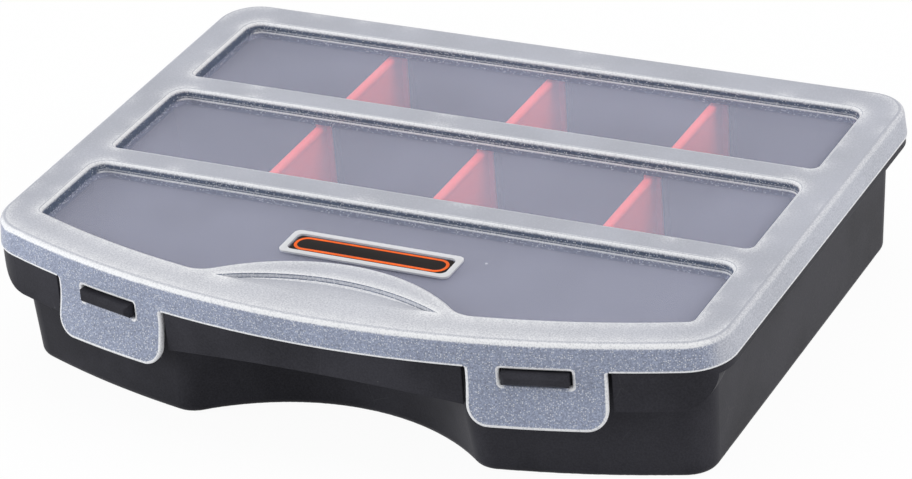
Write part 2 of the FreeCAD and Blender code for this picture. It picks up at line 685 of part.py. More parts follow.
def latch_tab(side, sign):
    """A flexing tab: round root, upright upper part with a slot, flared foot with rounded corners."""
    body = latch_body("latch_" + side, sign)
    profile = body_sketch(body, "latch_profile_" + side, "YZ_Plane")
    corners = (
        ("tab_root_out", "tab_root_level"),
        ("tab_out", "tab_rim_level"),
        ("tab_out", "tab_bend_level"),
        ("tab_toe_out", "tab_toe_level"),
        ("tab_toe_in", "tab_toe_level"),
        ("tab_in", "tab_bend_level"),
        ("tab_in", "tab_rim_level"),
        ("tab_root_in", "tab_root_level"),
    )
    points = [Vector(size(x), size(y), 0) for x, y in corners]
    runs = [(profile.addGeometry(Part.LineSegment(a, b)), 1, 2) for a, b in zip(points, points[1:])]
    root = arc(profile, Vector(), size("tab_root_in"), points[-1], points[0])
    runs.append((root, 1, 2))
    join(profile, runs, "Coincident")
    for (number, first, _), (x, y) in zip(runs[:-1], corners):
        measure(profile, "DistanceX", x, -1, 1, number, first)
        measure(profile, "DistanceY", y, -1, 1, number, first)
    profile.addConstraint(Sketcher.Constraint("Coincident", root, 3, -1, 1))
    profile.addConstraint(Sketcher.Constraint("PointOnObject", root, 1, -1))
    pad(body, "latch_pad_" + side, profile, "latch_width")
    slot = body_sketch(body, "latch_slot_line_" + side, "XZ_Plane")
    rectangle(slot, "slot_start", "slot_end", "tab_bend_level", "slot_top")
    pocket = body.newObject("PartDesign::Pocket", "latch_slot_" + side)
    pocket.Profile = slot
    pocket.Type = "ThroughAll"
    pocket.SideType = "Symmetric"
    document.recompute()
    toe = [
        "Edge%d" % n
        for n, edge in enumerate(pocket.Shape.Edges, 1)
        if at_height(edge, "tab_toe_level") and edge.BoundBox.XLength < span_tolerance
    ]
    corner = body.newObject("PartDesign::Fillet", "latch_corner_" + side)
    corner.Base = (pocket, toe)
    bind(corner, Radius="latch_corner")
    return body


tab_face = "lid_wall / 2 + latch_root_lean"
tabs = {side: latch_tab(side, sign) for side, sign in SIDES}
rim_gaps = [
    latch_block(
        "rim_gap_" + side,
        sign,
        "latch_width / 2 + latch_gap",
        "-(%s) - overrun" % tab_face,
        "lid_wall / 2 + latch_sag + latch_gap",
        "tab_rim_level - overrun",
        "lid_wall / 2 + latch_gap",
    )
    for side, sign in SIDES
]

# Hinge clips of the lid: an arm off the rim and a snap-open ring round each pin
clips = []
for side, sign in SIDES:
    low_x = "%d * hinge_place - clip_width / 2" % sign
    ring = rod("clip_ring_" + side, "knuckle_radius", "clip_width", low_x)
    arm = box(
        "clip_arm_" + side,
        "clip_width",
        "hinge_offset + lid_wall",
        "clip_arm",
        low_x,
        "lid_back - lid_wall",
        "rim_bottom",
    )
    bore = rod("clip_bore_" + side, "bore_radius", "clip_width", low_x)
    mouth = box(
        "clip_mouth_" + side,
        "clip_width",
        "clip_mouth",
        "knuckle_radius + overrun",
        low_x,
        "hinge_y - clip_mouth / 2",
        "hinge_z - knuckle_radius - overrun",
    )
    clips.append(cut("clip_" + side, fuse("clip_solid_" + side, ring, arm), bore, mouth))
lid_clipped = fuse("lid_clipped", lid_lipped, *clips)
lid_frame = cut("lid_frame", lid_clipped, scoop, *rim_gaps)

# Panes fill the feet of their openings; the front one carries the badge's raised lip
pane_slab = slab("pane_slab", "pane_thick", "pane_bottom")
panes = {row: common("pane_" + row, openings[row], pane_slab) for row in openings}


def badge_block(name, margin, height):
    """A flat block centred on the badge, wider than the plate by a margin."""
    return box(
        name,
        "badge_length + 2 * (%s)" % margin,
        "badge_width + 2 * (%s)" % margin,
        height,
        "badge_left - (%s)" % margin,
        "badge_front - (%s)" % margin,
        "pane_top",
    )


def upright(edge):
    return edge.BoundBox.XLength < span_tolerance and edge.BoundBox.YLength < span_tolerance


lip_block = badge_block("lip_block", "badge_play + lip_width", "lip_height")
lip_space = badge_block("lip_space", "badge_play", "lip_height")
lip_outer = rounded("lip_outer", lip_block, "badge_corner", upright)
lip_inner = rounded("lip_inner", lip_space, "badge_corner", upright)
panes["front"] = fuse("pane_front_lipped", panes["front"], cut("badge_lip", lip_outer, lip_inner))
badge_body = document.addObject("PartDesign::Body", "badge_body")
badge_line = body_sketch(badge_body, "badge_line", "XY_Plane")
rectangle(badge_line, "badge_left", "badge_right", "badge_front", "badge_back")
badge_pad = badge_body.newObject("PartDesign::Pad", "badge_pad")
badge_pad.Profile = badge_line
bind(badge_pad, Length="badge_thick")
bind(badge_body, z="pane_top")
document.recompute()
badge_edges = ["Edge%d" % n for n, edge in enumerate(badge_pad.Shape.Edges, 1) if upright(edge)]
badge_corners = badge_body.newObject("PartDesign::Fillet", "badge_corners")
badge_corners.Base = (badge_pad, badge_edges)
bind(badge_corners, Radius="badge_corner")

# Tray: drafted walls round a hollow, with the finger recess turned in at the front
tray_block = loft(
    "tray_block",
    bowed_outline("tray_foot_line", "tray_foot", "underside", grip=True),
    bowed_outline("tray_top_line", "tray_top", "upstand_top", grip=True),
)
tray_round = rounded("tray_round", tray_block, "bottom_round", lambda edge: at_height(edge, "underside"))
hollow_block = loft(
    "hollow_block",
    bowed_outline("hollow_foot_line", "hollow_foot", "underside", grip=True),
    bowed_outline("hollow_top_line", "hollow_top", "upstand_top", grip=True),
)
tray_hollow = cut("tray_hollow", hollow_block, slab("floor_slab", "tray_floor + overrun", "-overrun"))

# Collar of the tray: flange under the rim and apron below it at the front, with a bay behind each latch
flange = extrusion("flange_plate", bowed_outline("flange_line", "flange", "flange_bottom"), "flange_thick")
apron_height = "flange_top - apron_low"
apron_line = bowed_outline("apron_line", "flange", "apron_low")
apron_inner_line = bowed_outline("apron_inner_line", "apron_inner", "apron_low")
apron_outer = extrusion("apron_outer", apron_line, apron_height)
apron_core = extrusion("apron_core", apron_inner_line, apron_height)
apron_band = cut("apron_band", apron_outer, apron_core)


def apron_profile():
    """The apron from the front: arched at the middle, level beside the latches, swept up at the ends."""
    sketch = turned(document.addObject("Sketcher::SketchObject", "apron_profile"), ABOUT_X, 90)
    bind(sketch, y="lid_front - overrun")
    # Each corner with the radius of the arc that follows it, or none for a straight run
    corners = (
        ("apron_reach", "flange_top", None),
        ("apron_start", "flange_top", None),
        ("apron_start", "flange_bottom", "apron_sweep"),
        ("apron_level_start", "apron_low", None),
        ("apron_inner_start", "apron_low", "apron_arch"),
        ("apron_inner_end", "apron_low", None),
        ("apron_level_end", "apron_low", "apron_sweep"),
        ("apron_reach", "flange_bottom", None),
    )
    points = [Vector(size(x), size(y), 0) for x, y, _ in corners]
    arch_top = size("flange_bottom") - size("apron_middle")
    runs = []
    for (_, _, radius), start, end in zip(corners, points, points[1:] + points[:1]):
        if radius == "apron_arch":
            run = (arc(sketch, Vector(0, arch_top - size(radius), 0), size(radius), end, start), 2, 1)
        elif radius == "apron_sweep":
            low = min(start, end, key=lambda point: point.y)
            run = (arc(sketch, low + Vector(0, size(radius), 0), size(radius), start, end), 1, 2)
        else:
            run = (sketch.addGeometry(Part.LineSegment(start, end)), 1, 2)
        runs.append(run)
        if radius:
            measure(sketch, "Radius", radius, run[0])
    join(sketch, runs, "Coincident")
    for (number, first, _), (x, y, _) in zip(runs, corners):
        measure(sketch, "DistanceX", x, -1, 1, number, first)
        measure(sketch, "DistanceY", y, -1, 1, number, first)
    return sketch


apron_front = extrusion("apron_front", apron_profile(), "overrun - lid_front", ABOUT_Y)
apron = common("apron", apron_band, apron_front)
bays = [
    latch_block(
        "latch_bay_" + side,
        sign,
        "latch_width / 2 + latch_bay_gap",
        "-(%s) - latch_flare - overrun" % tab_face,
        "lid_wall / 2 + latch_bay_depth",
        "apron_low - latch_root - overrun",
        "flange_top - latch_root + overrun",
    )
    for side, sign in SIDES
]
collar = cut("collar", fuse("collar_whole", flange, apron), *bays)

# Hinge ears of the tray, one at each end of a pin
ears = []
for side, sign in SIDES:
    for end, way in SIDES:
        name = "%s_%s" % (side, end)
        middle = "%d * hinge_place + %d * (clip_width / 2 + ear_gap + ear_thick / 2)" % (sign, way)
        low_x = middle + " - ear_thick / 2"
        disc = rod("ear_disc_" + name, "knuckle_radius", "ear_thick", low_x)
        root = box(
            "ear_root_" + name,
            "ear_thick",
            "hinge_offset + flange_inset + overrun",
            "flange_thick",
            low_x,
            "lid_back - flange_inset - overrun",
            "flange_bottom",
        )
        hole = rod("ear_hole_" + name, "pin_radius", "ear_thick", low_x)
        ears.append(cut("ear_" + name, fuse("ear_solid_" + name, disc, root), hole))
pins = {
    side: rod("pin_" + side, "pin_radius", "pin_length", "%d * hinge_place - pin_length / 2" % sign)
    for side, sign in SIDES
}


# Guide ribs in pairs, one pair at each end of a divider
def guides(prefix, low_y, reach, turn="0"):
    """Ribs beside each divider's cross strip, from the floor up."""
    ribs = []
    for column, step in COLUMNS:
        for side, sign in SIDES:
            middle = "%d * divider_spacing + %d * (guide_place + guide_thick / 2)" % (step, sign)
            rib = turned(document.addObject("Part::Box", "%s_%s_%s" % (prefix, column, side)), ABOUT_X)
            bind(rib, Length="guide_thick", Width=reach, Height="guide_top - tray_floor", turn=turn)
            ribs.append(bind(rib, x=middle + " - guide_thick / 2", y=low_y, z="tray_floor"))
    return ribs


back_guides = guides(
    "back_guide",
    "back_face_floor - guide_reach",
    "guide_reach + tray_wall / 2",
    "-back_wall_lean",
)
tray_shell = cut("tray_shell", fuse("tray_solid", tray_round, collar, *ears), tray_hollow)
base_tray = fuse("base_tray", tray_shell, *back_guides)
lugs = {}
for side, sign in SIDES:
    block = latch_block(
        "lug_block_" + side,
        sign,
        "slot_width / 2 - lug_side_gap",
        "-(%s) - lug_reach" % tab_face,
        "lug_inner",
        "tab_bend_level + lug_under_gap",
        "slot_top - lug_top_gap",
    )
    document.recompute()
    plain = block.Tip
    tip = min(plain.Shape.Faces, key=lambda face: face.CenterOfMass.y)
    edges = [
        "Edge%d" % n
        for n, edge in enumerate(plain.Shape.Edges, 1)
        if any(edge.isSame(other) for other in tip.Edges)
    ]
    slope = block.newObject("PartDesign::Chamfer", "lug_slope_" + side)
    slope.Base = (plain, edges)
    bind(slope, Size="lug_chamfer")
    lugs[side] = cut("lug_" + side, block, base_tray)

# Row walls span the hollow under the bars of the lid
row_walls = {}
ROW_WALLS = (
    ("rear", "bar_rear", (("fore", "bar_rear - row_guide_reach"), ("back", "bar_rear"))),
    ("front", "bar_front", (("back", "bar_front"),)),
)
for row, place, faces in ROW_WALLS:
    screen = box(
        "row_screen_" + row,
        "lid_width",
        "row_wall",
        "case_height",
        "-lid_width / 2",
        place + " - row_wall / 2",
        "underside",
    )
    ribs = []
    for face, low_y in faces:
        ribs += guides("row_guide_%s_%s" % (row, face), low_y, "row_guide_reach")
    row_walls[row] = fuse("row_wall_" + row, common("row_plate_" + row, tray_hollow, screen), *ribs)


# Dividers: thin plates with a thick top edge and a cross strip at each end
def divider(row, column, step):
    body = document.addObject("PartDesign::Body", "divider_%s_%s" % (row, column))
    name = "%s_%s" % (row, column)
    front, inner_front = row + "_front", row + "_strip_front"
    inner_low = row + "_strip_low"
    back_edge = ((row + "_low", "divider_bottom"), (row + "_high", "divider_top"))
    plate = body_sketch(body, "divider_plate_" + name, "YZ_Plane")
    polygon(plate, ((front, "divider_bottom"), *back_edge, (front, "divider_top")))
    pad(body, "divider_pad_" + name, plate, "divider_thick")
    strips = body_sketch(body, "divider_strips_" + name, "YZ_Plane")
    rectangle(strips, front, inner_front, "divider_bottom", "divider_top")
    polygon(strips, ((inner_low, "divider_bottom"), *back_edge, (row + "_strip_high", "divider_top")))
    pad(body, "divider_tees_" + name, strips, "tee_width")
    bead = body_sketch(body, "divider_bead_line_" + name, "YZ_Plane")
    rectangle(bead, front, inner_low, "bead_bottom", "divider_top")
    pad(body, "divider_bead_" + name, bead, "bead_thick")
    return bind(body, x="%d * divider_spacing" % step)


dividers = {
    "divider_%s_%s" % (row, column): divider(row, column, step)
    for row in ("rear", "middle")
    for column, step in COLUMNS
}

# Nodes: every sub-part under its own label
nodes = {
    "base_tray": base_tray,
    "row_wall_rear": row_walls["rear"],
    "row_wall_front": row_walls["front"],
    "lid_frame": lid_frame,
    "badge_plate": badge_body,
    **{"window_" + row: pane for row, pane in panes.items()},
    **{"lug_" + side: lug for side, lug in lugs.items()},
    **{"hinge_pin_" + side: pin for side, pin in pins.items()},
    **{"latch_" + side: tab for side, tab in tabs.items()},
    **dividers,
}
document.recompute()
for name, item in nodes.items():
    item.Label = name
for item in document.Objects:
    if {"Invalid", "Error"} & set(item.State):
        raise RuntimeError("%s did not build: %s" % (item.Name, item.State))
for name, item in nodes.items():
    if item.Shape.isNull() or not item.Shape.isValid():
        raise RuntimeError("%s has no valid shape" % name)
os.makedirs("parts", exist_ok=True)
for name, item in nodes.items():
    item.Shape.exportStep("parts/%s.step" % name)
    print("%-22s %d solids %10.1f mm3" % (name, len(item.Shape.Solids), item.Shape.Volume))
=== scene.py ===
"""Small parts organizer: frosted lid, clear panes, coral dividers and black tray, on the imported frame."""

import json
import math

import bpy
import numpy as np
from bpy.props import FloatProperty, FloatVectorProperty, PointerProperty
from mathutils import Matrix, Vector
from mathutils.geometry import delaunay_2d_cdt
from mathutils.kdtree import KDTree


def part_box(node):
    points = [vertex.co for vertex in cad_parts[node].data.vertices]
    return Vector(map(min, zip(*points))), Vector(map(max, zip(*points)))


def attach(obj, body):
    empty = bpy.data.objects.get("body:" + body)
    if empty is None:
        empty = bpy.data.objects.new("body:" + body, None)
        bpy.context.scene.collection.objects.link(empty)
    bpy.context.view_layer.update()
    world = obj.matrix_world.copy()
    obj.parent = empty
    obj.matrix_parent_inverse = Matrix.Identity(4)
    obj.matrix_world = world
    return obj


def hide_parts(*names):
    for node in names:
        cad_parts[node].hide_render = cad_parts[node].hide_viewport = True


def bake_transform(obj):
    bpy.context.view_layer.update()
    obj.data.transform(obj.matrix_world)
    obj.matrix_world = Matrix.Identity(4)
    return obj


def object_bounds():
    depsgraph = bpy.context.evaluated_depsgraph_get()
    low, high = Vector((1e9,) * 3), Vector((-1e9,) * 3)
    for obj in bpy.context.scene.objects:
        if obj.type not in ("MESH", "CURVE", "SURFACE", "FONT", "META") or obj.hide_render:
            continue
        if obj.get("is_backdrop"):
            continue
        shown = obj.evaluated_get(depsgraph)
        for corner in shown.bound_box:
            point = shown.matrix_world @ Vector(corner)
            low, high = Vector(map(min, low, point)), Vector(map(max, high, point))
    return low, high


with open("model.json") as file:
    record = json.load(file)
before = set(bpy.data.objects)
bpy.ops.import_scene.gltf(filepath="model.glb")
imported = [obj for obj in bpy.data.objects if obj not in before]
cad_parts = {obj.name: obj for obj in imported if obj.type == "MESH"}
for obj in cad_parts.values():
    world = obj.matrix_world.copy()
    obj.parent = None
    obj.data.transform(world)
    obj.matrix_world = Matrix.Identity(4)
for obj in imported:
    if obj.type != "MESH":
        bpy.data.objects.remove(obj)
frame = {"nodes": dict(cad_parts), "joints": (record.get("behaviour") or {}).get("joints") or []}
CAD_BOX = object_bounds()
LID_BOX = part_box("lid_frame")
REAR_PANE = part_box("window_rear")
BADGE_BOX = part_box("badge_plate")
JOINTS = {joint["name"]: joint for joint in frame["joints"]}

bl_info = {
    "name": "Small parts organizer",
    "version": (1, 0, 0),
    "blender": (4, 5, 0),
    "location": "View3D > Sidebar > Organizer",
    "description": "A shallow parts case with a frosted lid, clear panes, coral dividers and a black tray",
    "category": "Add Mesh",
}

SIDES = ("left", "right")
ROWS = ("rear", "middle")
COLUMNS = ("left", "middle", "right")

# Lengths and places are in metres. Longest edges of the meshes that are made here
LID_STEP, TAB_STEP = 0.0026, 0.0012
BADGE_STEP, BADGE_EDGE_STEP, LINE_STEP, LINE_EDGE_STEP = 0.0010, 0.0015, 0.0006, 0.0012
# Rounds of halving for long edges, and a length or part too small to matter
SPLIT_ROUNDS = 12
TOUCH, NEARLY_ZERO = 1e-6, 1e-9
LEVEL_TOUCH = 10 * TOUCH
# How far points of a plate's face keep from its edges, as a share of their spacing
GRID_CLEAR_SHARE = 0.6
# Least divisor of a step into a plate, so that a sharp corner isn't drawn out
MITRE_LEAST = 0.5

# Height above the panes, how dark the painted shade on a recess wall is there and how pale its painted
# highlight
RECESS_SHADING_BANDS = (
    (-0.0003, 1.0, 0.0),
    (-0.0001, 0.0, 1.0),
    (0.0003, 0.0, 1.0),
    (0.00042, 0.9, 0.1),
    (0.00056, 0.9, 0.1),
    (0.00068, 0.5, 0.6),
    (0.00085, 0.5, 0.5),
    (0.0011, 1.0, 0.0),
    (0.0017, 1.0, 0.0),
    (0.0023, 0.15, 0.9),
)
# Height above the foot of the rim and how pale the painted highlight on the rim is there, at the front and
# elsewhere
RIM_HIGHLIGHT_BANDS = (
    (0.0, 1.0, 0.9),
    (0.00035, 1.0, 0.9),
    (0.0006, 0.0, 0.35),
    (0.0060, 0.05, 0.4),
    (0.0076, 0.85, 0.6),
)

# Upward part of a normal: where a wall turns level, where the painted highlight on a rounded edge begins and
# ends, on the rounds whose painted highlight spreads onto the top beside them, and on level faces
WALL_SLOPES, ROUND_BEGINS, ROUND_ENDS = (0.25, 0.75), (0.12, 0.45), (0.86, 0.99)
ROUND_SLOPES, NEARLY_LEVEL, LEVEL = (0.35, 0.9), 0.9, 0.99
# Forward part of a normal, from a side wall to a front wall
FRONT_TURN = (0.4, 0.8)
# How far the lid's recesses reach past the rear pane, and how far they keep behind the bowed front
RECESS_MARGIN, FRONT_MARGIN = 0.004, 0.007
# Depth below the lid's top of what is painted as its top, and of what gets a paler painted highlight towards
# the front
TOP_DEPTH, FRONT_DEPTH = 0.002, 0.003
# Distance forward of the middle over which a painted highlight makes the top paler
FRONT_FADE = (0.045, 0.075)
# How pale the painted highlight makes the top at a rounded edge and at the front, and the upper part of a
# plain recess wall
HIGHLIGHT_SHARE, FRONT_HIGHLIGHT_SHARE, WALL_HIGHLIGHT_SHARE = 0.9, 0.5, 0.9
# How much of the painted side shade and of the painted edge highlight the rim has away from the front
FLANK_SIDE_SHADE_SHARE, FLANK_EDGE_HIGHLIGHT_SHARE = 0.25, 0.6
# The thumb scoop's rear wall: half width, rearmost place, distance behind the front, overlap,
# and the upward and forward parts of its normals
SCOOP_HALF, SCOOP_PLACE, SCOOP_MARGIN, SCOOP_OVERLAP = 0.033, -0.060, 0.0035, 0.0001
SCOOP_SLOPES, SCOOP_FACING = (0.2, 0.6), 0.4
# Its paint: painted side shade, painted edge highlight and painted shade in its creases
SCOOP_SIDE_SHADE_SHARE, SCOOP_EDGE_HIGHLIGHT_SHARE, CREASE_SHADE_SHARE = 0.15, 0.5, 0.85
# A tab: its face behind the rim's, its unpainted part inside the rim, and where it starts to bend
TAB_BEHIND, TAB_HELD, TAB_BEND_DROP = 0.000004, 0.002, 0.0002
# How sharply a tab flares
FLARE_SHARPNESS = 0.25
# Where the lug covers the slot's lower edge, inside the slot's ends, and how far the painted highlight line
# there is dimmed
LUG_FADE, LUG_DIM_SHARE = (0.0015, 0.0008), 0.75
# A divider's thick top edge: its ends inside the divider's, and its round as a share of its height
BEAD_INSET, BEAD_ROUND_SHARE = 0.0001, 0.36
# Angle from which a divider's edges are sharp
SHARP_EDGE = math.radians(40)
# Height above the pane over which a painted highlight makes the raised lip round the badge pale
LIP_HIGHLIGHT_HEIGHTS = (0.0002, 0.0006)
# Ends of the badge's border line: radius as a share of half its width, and points in each quarter
LINE_END_SHARE, LINE_END_POINTS = 0.98, 18
# Lights: name, width, place and tint
LIGHTS = (
    ("overhead", 1.6, (-0.25, 0.45, 1.25), (1.0, 1.0, 1.0)),
    ("key", 0.8, (1.1, 0.12, 0.95), (1.0, 0.985, 0.97)),
    ("fill", 0.7, (-1.05, -0.6, 0.4), (0.97, 0.985, 1.0)),
)
LIGHT_AIM = Vector((0.0, 0.0, 0.02))
SKY_TINT, WHITE = (0.965, 0.98, 1.0, 1.0), (1.0, 1.0, 1.0, 1.0)
# Floor: half width, level and share of plain white
FLOOR_HALF, FLOOR_LEVEL, FLOOR_WHITE_SHARE = 6.0, -0.0002, 0.95
# Farthest distance that the camera sees
CAMERA_REACH = 50.0


def number(name, description, default, **kind):
    return FloatProperty(name=name, description=description, default=default, **kind)


def length(name, description, default):
    return number(name, description, default, min=0.0, unit="LENGTH", precision=5)


def share(name, description, default):
    return number(name, description, default, min=0.0, max=1.0, subtype="FACTOR")


def angle(name, description, degrees):
    return number(name, description, math.radians(degrees), subtype="ANGLE")


def colour(name, description, default):
    limits = {"size": 3, "min": 0.0, "max": 1.0, "subtype": "COLOR"}
    return FloatVectorProperty(name=name, description=description, default=default, **limits)


class OrganizerSizes(bpy.types.PropertyGroup):
    """Sizes of the lid, its latch tabs, the badge and the dividers"""

    bow_radius: length("Bow radius", "Plan radius of the lid's bowed front", 0.269)
    lid_wall: length("Lid wall", "Thickness of the rim and of the latch tabs", 0.0018)
    rim_height: length("Rim height", "Lid top to the lower edge of the rim", 0.0076)
    rim_lean: length("Rim lean", "How far the rim leans in at its top", 0.0007)
    # Painted highlight along the lid's edges: how far it fades into the frame
    highlight_reach: length("Edge glow", "How far the pale edges fade into the frame", 0.0028)
    # Painted shade in the creases of the scoop's rear wall: width of each dark line
    scoop_sink: length("Scoop sink", "Depth of the thumb scoop at its rear wall", 0.0011)
    scoop_crease_shade: length("Scoop line", "Dark line along the top and the foot of the scoop's rear wall", 0.00016)
    # Painted highlight line along the edges of a tab: half its width
    tab_highlight_line: length("Tab line", "Half of the pale line along the edges of a tab", 0.0002)
    tab_width: length("Tab width", "Latch tab, across", 0.036)
    tab_drop: length("Tab drop", "Rim's lower edge to the foot of the tab", 0.0157)
    tab_crown: length("Tab crown", "Rim's lower edge up to the top of the tab inside the rim", 0.0063)
    tab_bend: length("Tab bend", "Rim's lower edge down to where the tab flares", 0.0026)
    tab_flare: length("Tab flare", "How far the foot of the tab flares out", 0.0026)
    tab_corner: length("Tab corner", "Lower corners of the tab", 0.0056)
    tab_shoulder: length("Tab shoulder", "Hollow round where the tab leaves the rim", 0.0008)
    tab_hold: length("Tab hold", "How far the tab's upper part reaches into the rim beside its gap", 0.0012)
    slot_width: length("Slot width", "Slot in the tab, across", 0.0184)
    slot_height: length("Slot height", "Slot in the tab, top to bottom", 0.0046)
    slot_rise: length("Slot rise", "Rim's lower edge up to the top of the slot", 0.0001)
    slot_corner: length("Slot corner", "Corners of the slot", 0.0005)
    edge_round: length("Edge round", "Round along the edges of a tab", 0.00055)
    badge_corner: length("Badge corner", "Corners of the badge plate", 0.0010)
    badge_round: length("Badge round", "Round along the edge of the badge plate", 0.00018)
    badge_dome: length("Badge dome", "How far the badge plate swells at its middle", 0.00016)
    line_width: length("Badge line", "Border line on the badge", 0.00085)
    line_inset: length("Badge line inset", "Edge of the badge to its border line", 0.00042)
    line_thick: length("Badge line thickness", "Thickness of the border line", 0.00008)
    line_round: length("Badge line round", "Rounds along the border line", 0.00003)
    line_lift: length("Badge line lift", "Border line above the badge plate", 0.00004)
    divider_thick: length("Divider thickness", "Plate of a divider", 0.0016)
    bead_thick: length("Bead thickness", "Thick top edge of a divider", 0.0026)
    bead_height: length("Bead height", "Thick top edge of a divider", 0.0022)
    strip_thick: length("Strip thickness", "Cross strip at each end of a divider", 0.0012)
    divider_lean: length("Divider lean", "How far a rear divider's rear end leans back at its top", 0.00166)
    divider_round: length("Divider round", "Rounds along a divider's edges", 0.0004)


class OrganizerColours(bpy.types.PropertyGroup):
    """Colours of the finishes, painted shade and painted highlights among them"""

    # Level faces take a lit copy and upright faces a bluer shaded copy of one frosted plastic: the upright
    # colour is painted shade
    frosted_top: colour("Frosted top", "Frosted plastic, level faces", (0.365, 0.375, 0.425))
    frosted_side_shade: colour("Frosted side", "Frosted plastic, upright faces", (0.255, 0.287, 0.385))
    # Painted shade on the recess walls down to the panes
    frosted_recess_shade: colour("Frosted recess", "Frosted plastic, walls down to the panes", (0.085, 0.11, 0.165))
    # Near white of the painted highlights along edges and of the painted grain glints, also the colour of the
    # panes' real specks and scratches
    frosted_highlight_and_marks: colour("Frosted edge", "Frosted plastic where an edge gathers light", (0.80, 0.80, 0.81))
    # Pane haze: partly the plastic's own haze, partly painted reflection of the bright surroundings
    pane_haze_and_sheen: colour("Pane haze", "Haze of the clear panes", (0.77, 0.79, 1.0))
    pane_veil: share("Pane veil", "How much one face of a pane hides", 0.2)
    tray_black: colour("Tray black", "Black plastic of the tray", (0.0345, 0.0340, 0.0405))
    tray_worn: colour("Tray worn", "Black plastic where it is scuffed", (0.09, 0.09, 0.095))
    coral: colour("Coral", "Dividers", (0.98, 0.095, 0.055))
    coral_pale: colour("Coral pale", "Dividers where the plastic is thin or worn", (0.98, 0.22, 0.16))
    badge_black: colour("Badge black", "Badge plate", (0.010, 0.006, 0.005))
    badge_orange: colour("Badge orange", "Border line on the badge", (0.90, 0.13, 0.015))
    floor_pale: colour("Floor", "Floor under the organizer", (0.86, 0.86, 0.86))


class OrganizerStage(bpy.types.PropertyGroup):
    """Camera and light"""

    aim: FloatVectorProperty(
        name="Aim", description="What the camera looks at", default=(0.00413, -0.00454, 0.0243), subtype="XYZ"
    )
    distance: length("Distance", "Camera to the point that it looks at", 1.07164)
    azimuth: angle("Azimuth", "Camera's way round the organizer, from the front to the right", 28.1757)
    elevation: angle("Elevation", "Camera above the floor's level", 28.6491)
    roll: angle("Roll", "Camera's turn about its own line of sight", -5.0385)
    lens: number("Lens", "Focal length in millimetres", 159.04, min=1.0)
    sky: number("Sky", "Light from all round", 0.58, min=0.0)
    overhead: number("Overhead", "Power of the large light overhead", 4.9, min=0.0)
    key: number("Key", "Power of the light at the right", 8.2, min=0.0)
    fill: number("Fill", "Power of the light at the left front", 8.0, min=0.0)


def sizes():
    return bpy.context.scene.organizer_sizes


def colours():
    return bpy.context.scene.organizer_colours


# Shader nodes
def give(tree, socket, value):
    """Links a socket to a socket, or sets its value."""
    if isinstance(value, bpy.types.NodeSocket):
        tree.links.new(value, socket)
    else:
        socket.default_value = value


def feed(tree, node, inputs):
    """Links or sets inputs of a node, named or numbered."""
    for key, value in inputs.items():
        give(tree, node.inputs[key], value)


def add(tree, kind, inputs=None, **settings):
    """Adds a node with its settings and its inputs, named or numbered."""
    node = tree.nodes.new(kind)
    for name, value in settings.items():
        setattr(node, name, value)
    feed(tree, node, inputs or {})
    return node


def maths(operation):
    """A function that adds a maths node to a tree and gives its result."""

    def result(tree, first, second, clamp=False):
        inputs = {0: first, 1: second}
        return add(tree, "ShaderNodeMath", inputs, operation=operation, use_clamp=clamp).outputs[0]

    return result


plus, minus, times, ratio = (maths(kind) for kind in ("ADD", "SUBTRACT", "MULTIPLY", "DIVIDE"))
larger, smaller, exceeds = (maths(kind) for kind in ("MAXIMUM", "MINIMUM", "GREATER_THAN"))


def ramp(tree, value, low, high, start=0.0, end=1.0):
    """A smooth step from start to end as the value goes from low to high."""
    ends = {"Value": value, "From Min": low, "From Max": high, "To Min": start, "To Max": end}
    return add(tree, "ShaderNodeMapRange", ends, interpolation_type="SMOOTHSTEP").outputs["Result"]


def spread(tree, mask, start, end):
    """A value from start to end as a mask goes from 0 to 1."""
    return ramp(tree, mask, 0.0, 1.0, start, end)


def mixed(tree, factor, first, second):
    """Two colours mixed."""
    return add(tree, "ShaderNodeMix", {0: factor, 6: first, 7: second}, data_type="RGBA").outputs[2]


def shaded(tree, colour_socket, value):
    """A colour made lighter or darker."""
    return add(tree, "ShaderNodeHueSaturation", {"Color": colour_socket, "Value": value}).outputs["Color"]


def noise(tree, place, scale, detail=2.0, roughness=0.5):
    inputs = {"Vector": place, "Scale": scale, "Detail": detail, "Roughness": roughness}
    return add(tree, "ShaderNodeTexNoise", inputs).outputs


def opaque(triple):
    return (*triple, 1.0)


def new_group(name, inputs, outputs):
    """An empty shader group with its sockets, and its two ends."""
    group = bpy.data.node_groups.new(name, "ShaderNodeTree")
    for label, kind, default in inputs:
        socket = group.interface.new_socket(label, in_out="INPUT", socket_type=kind)
        if default is not None:
            socket.default_value = default
    for label in outputs:
        group.interface.new_socket(label, in_out="OUTPUT", socket_type="NodeSocketFloat")
    return group, group.nodes.new("NodeGroupInput"), group.nodes.new("NodeGroupOutput")


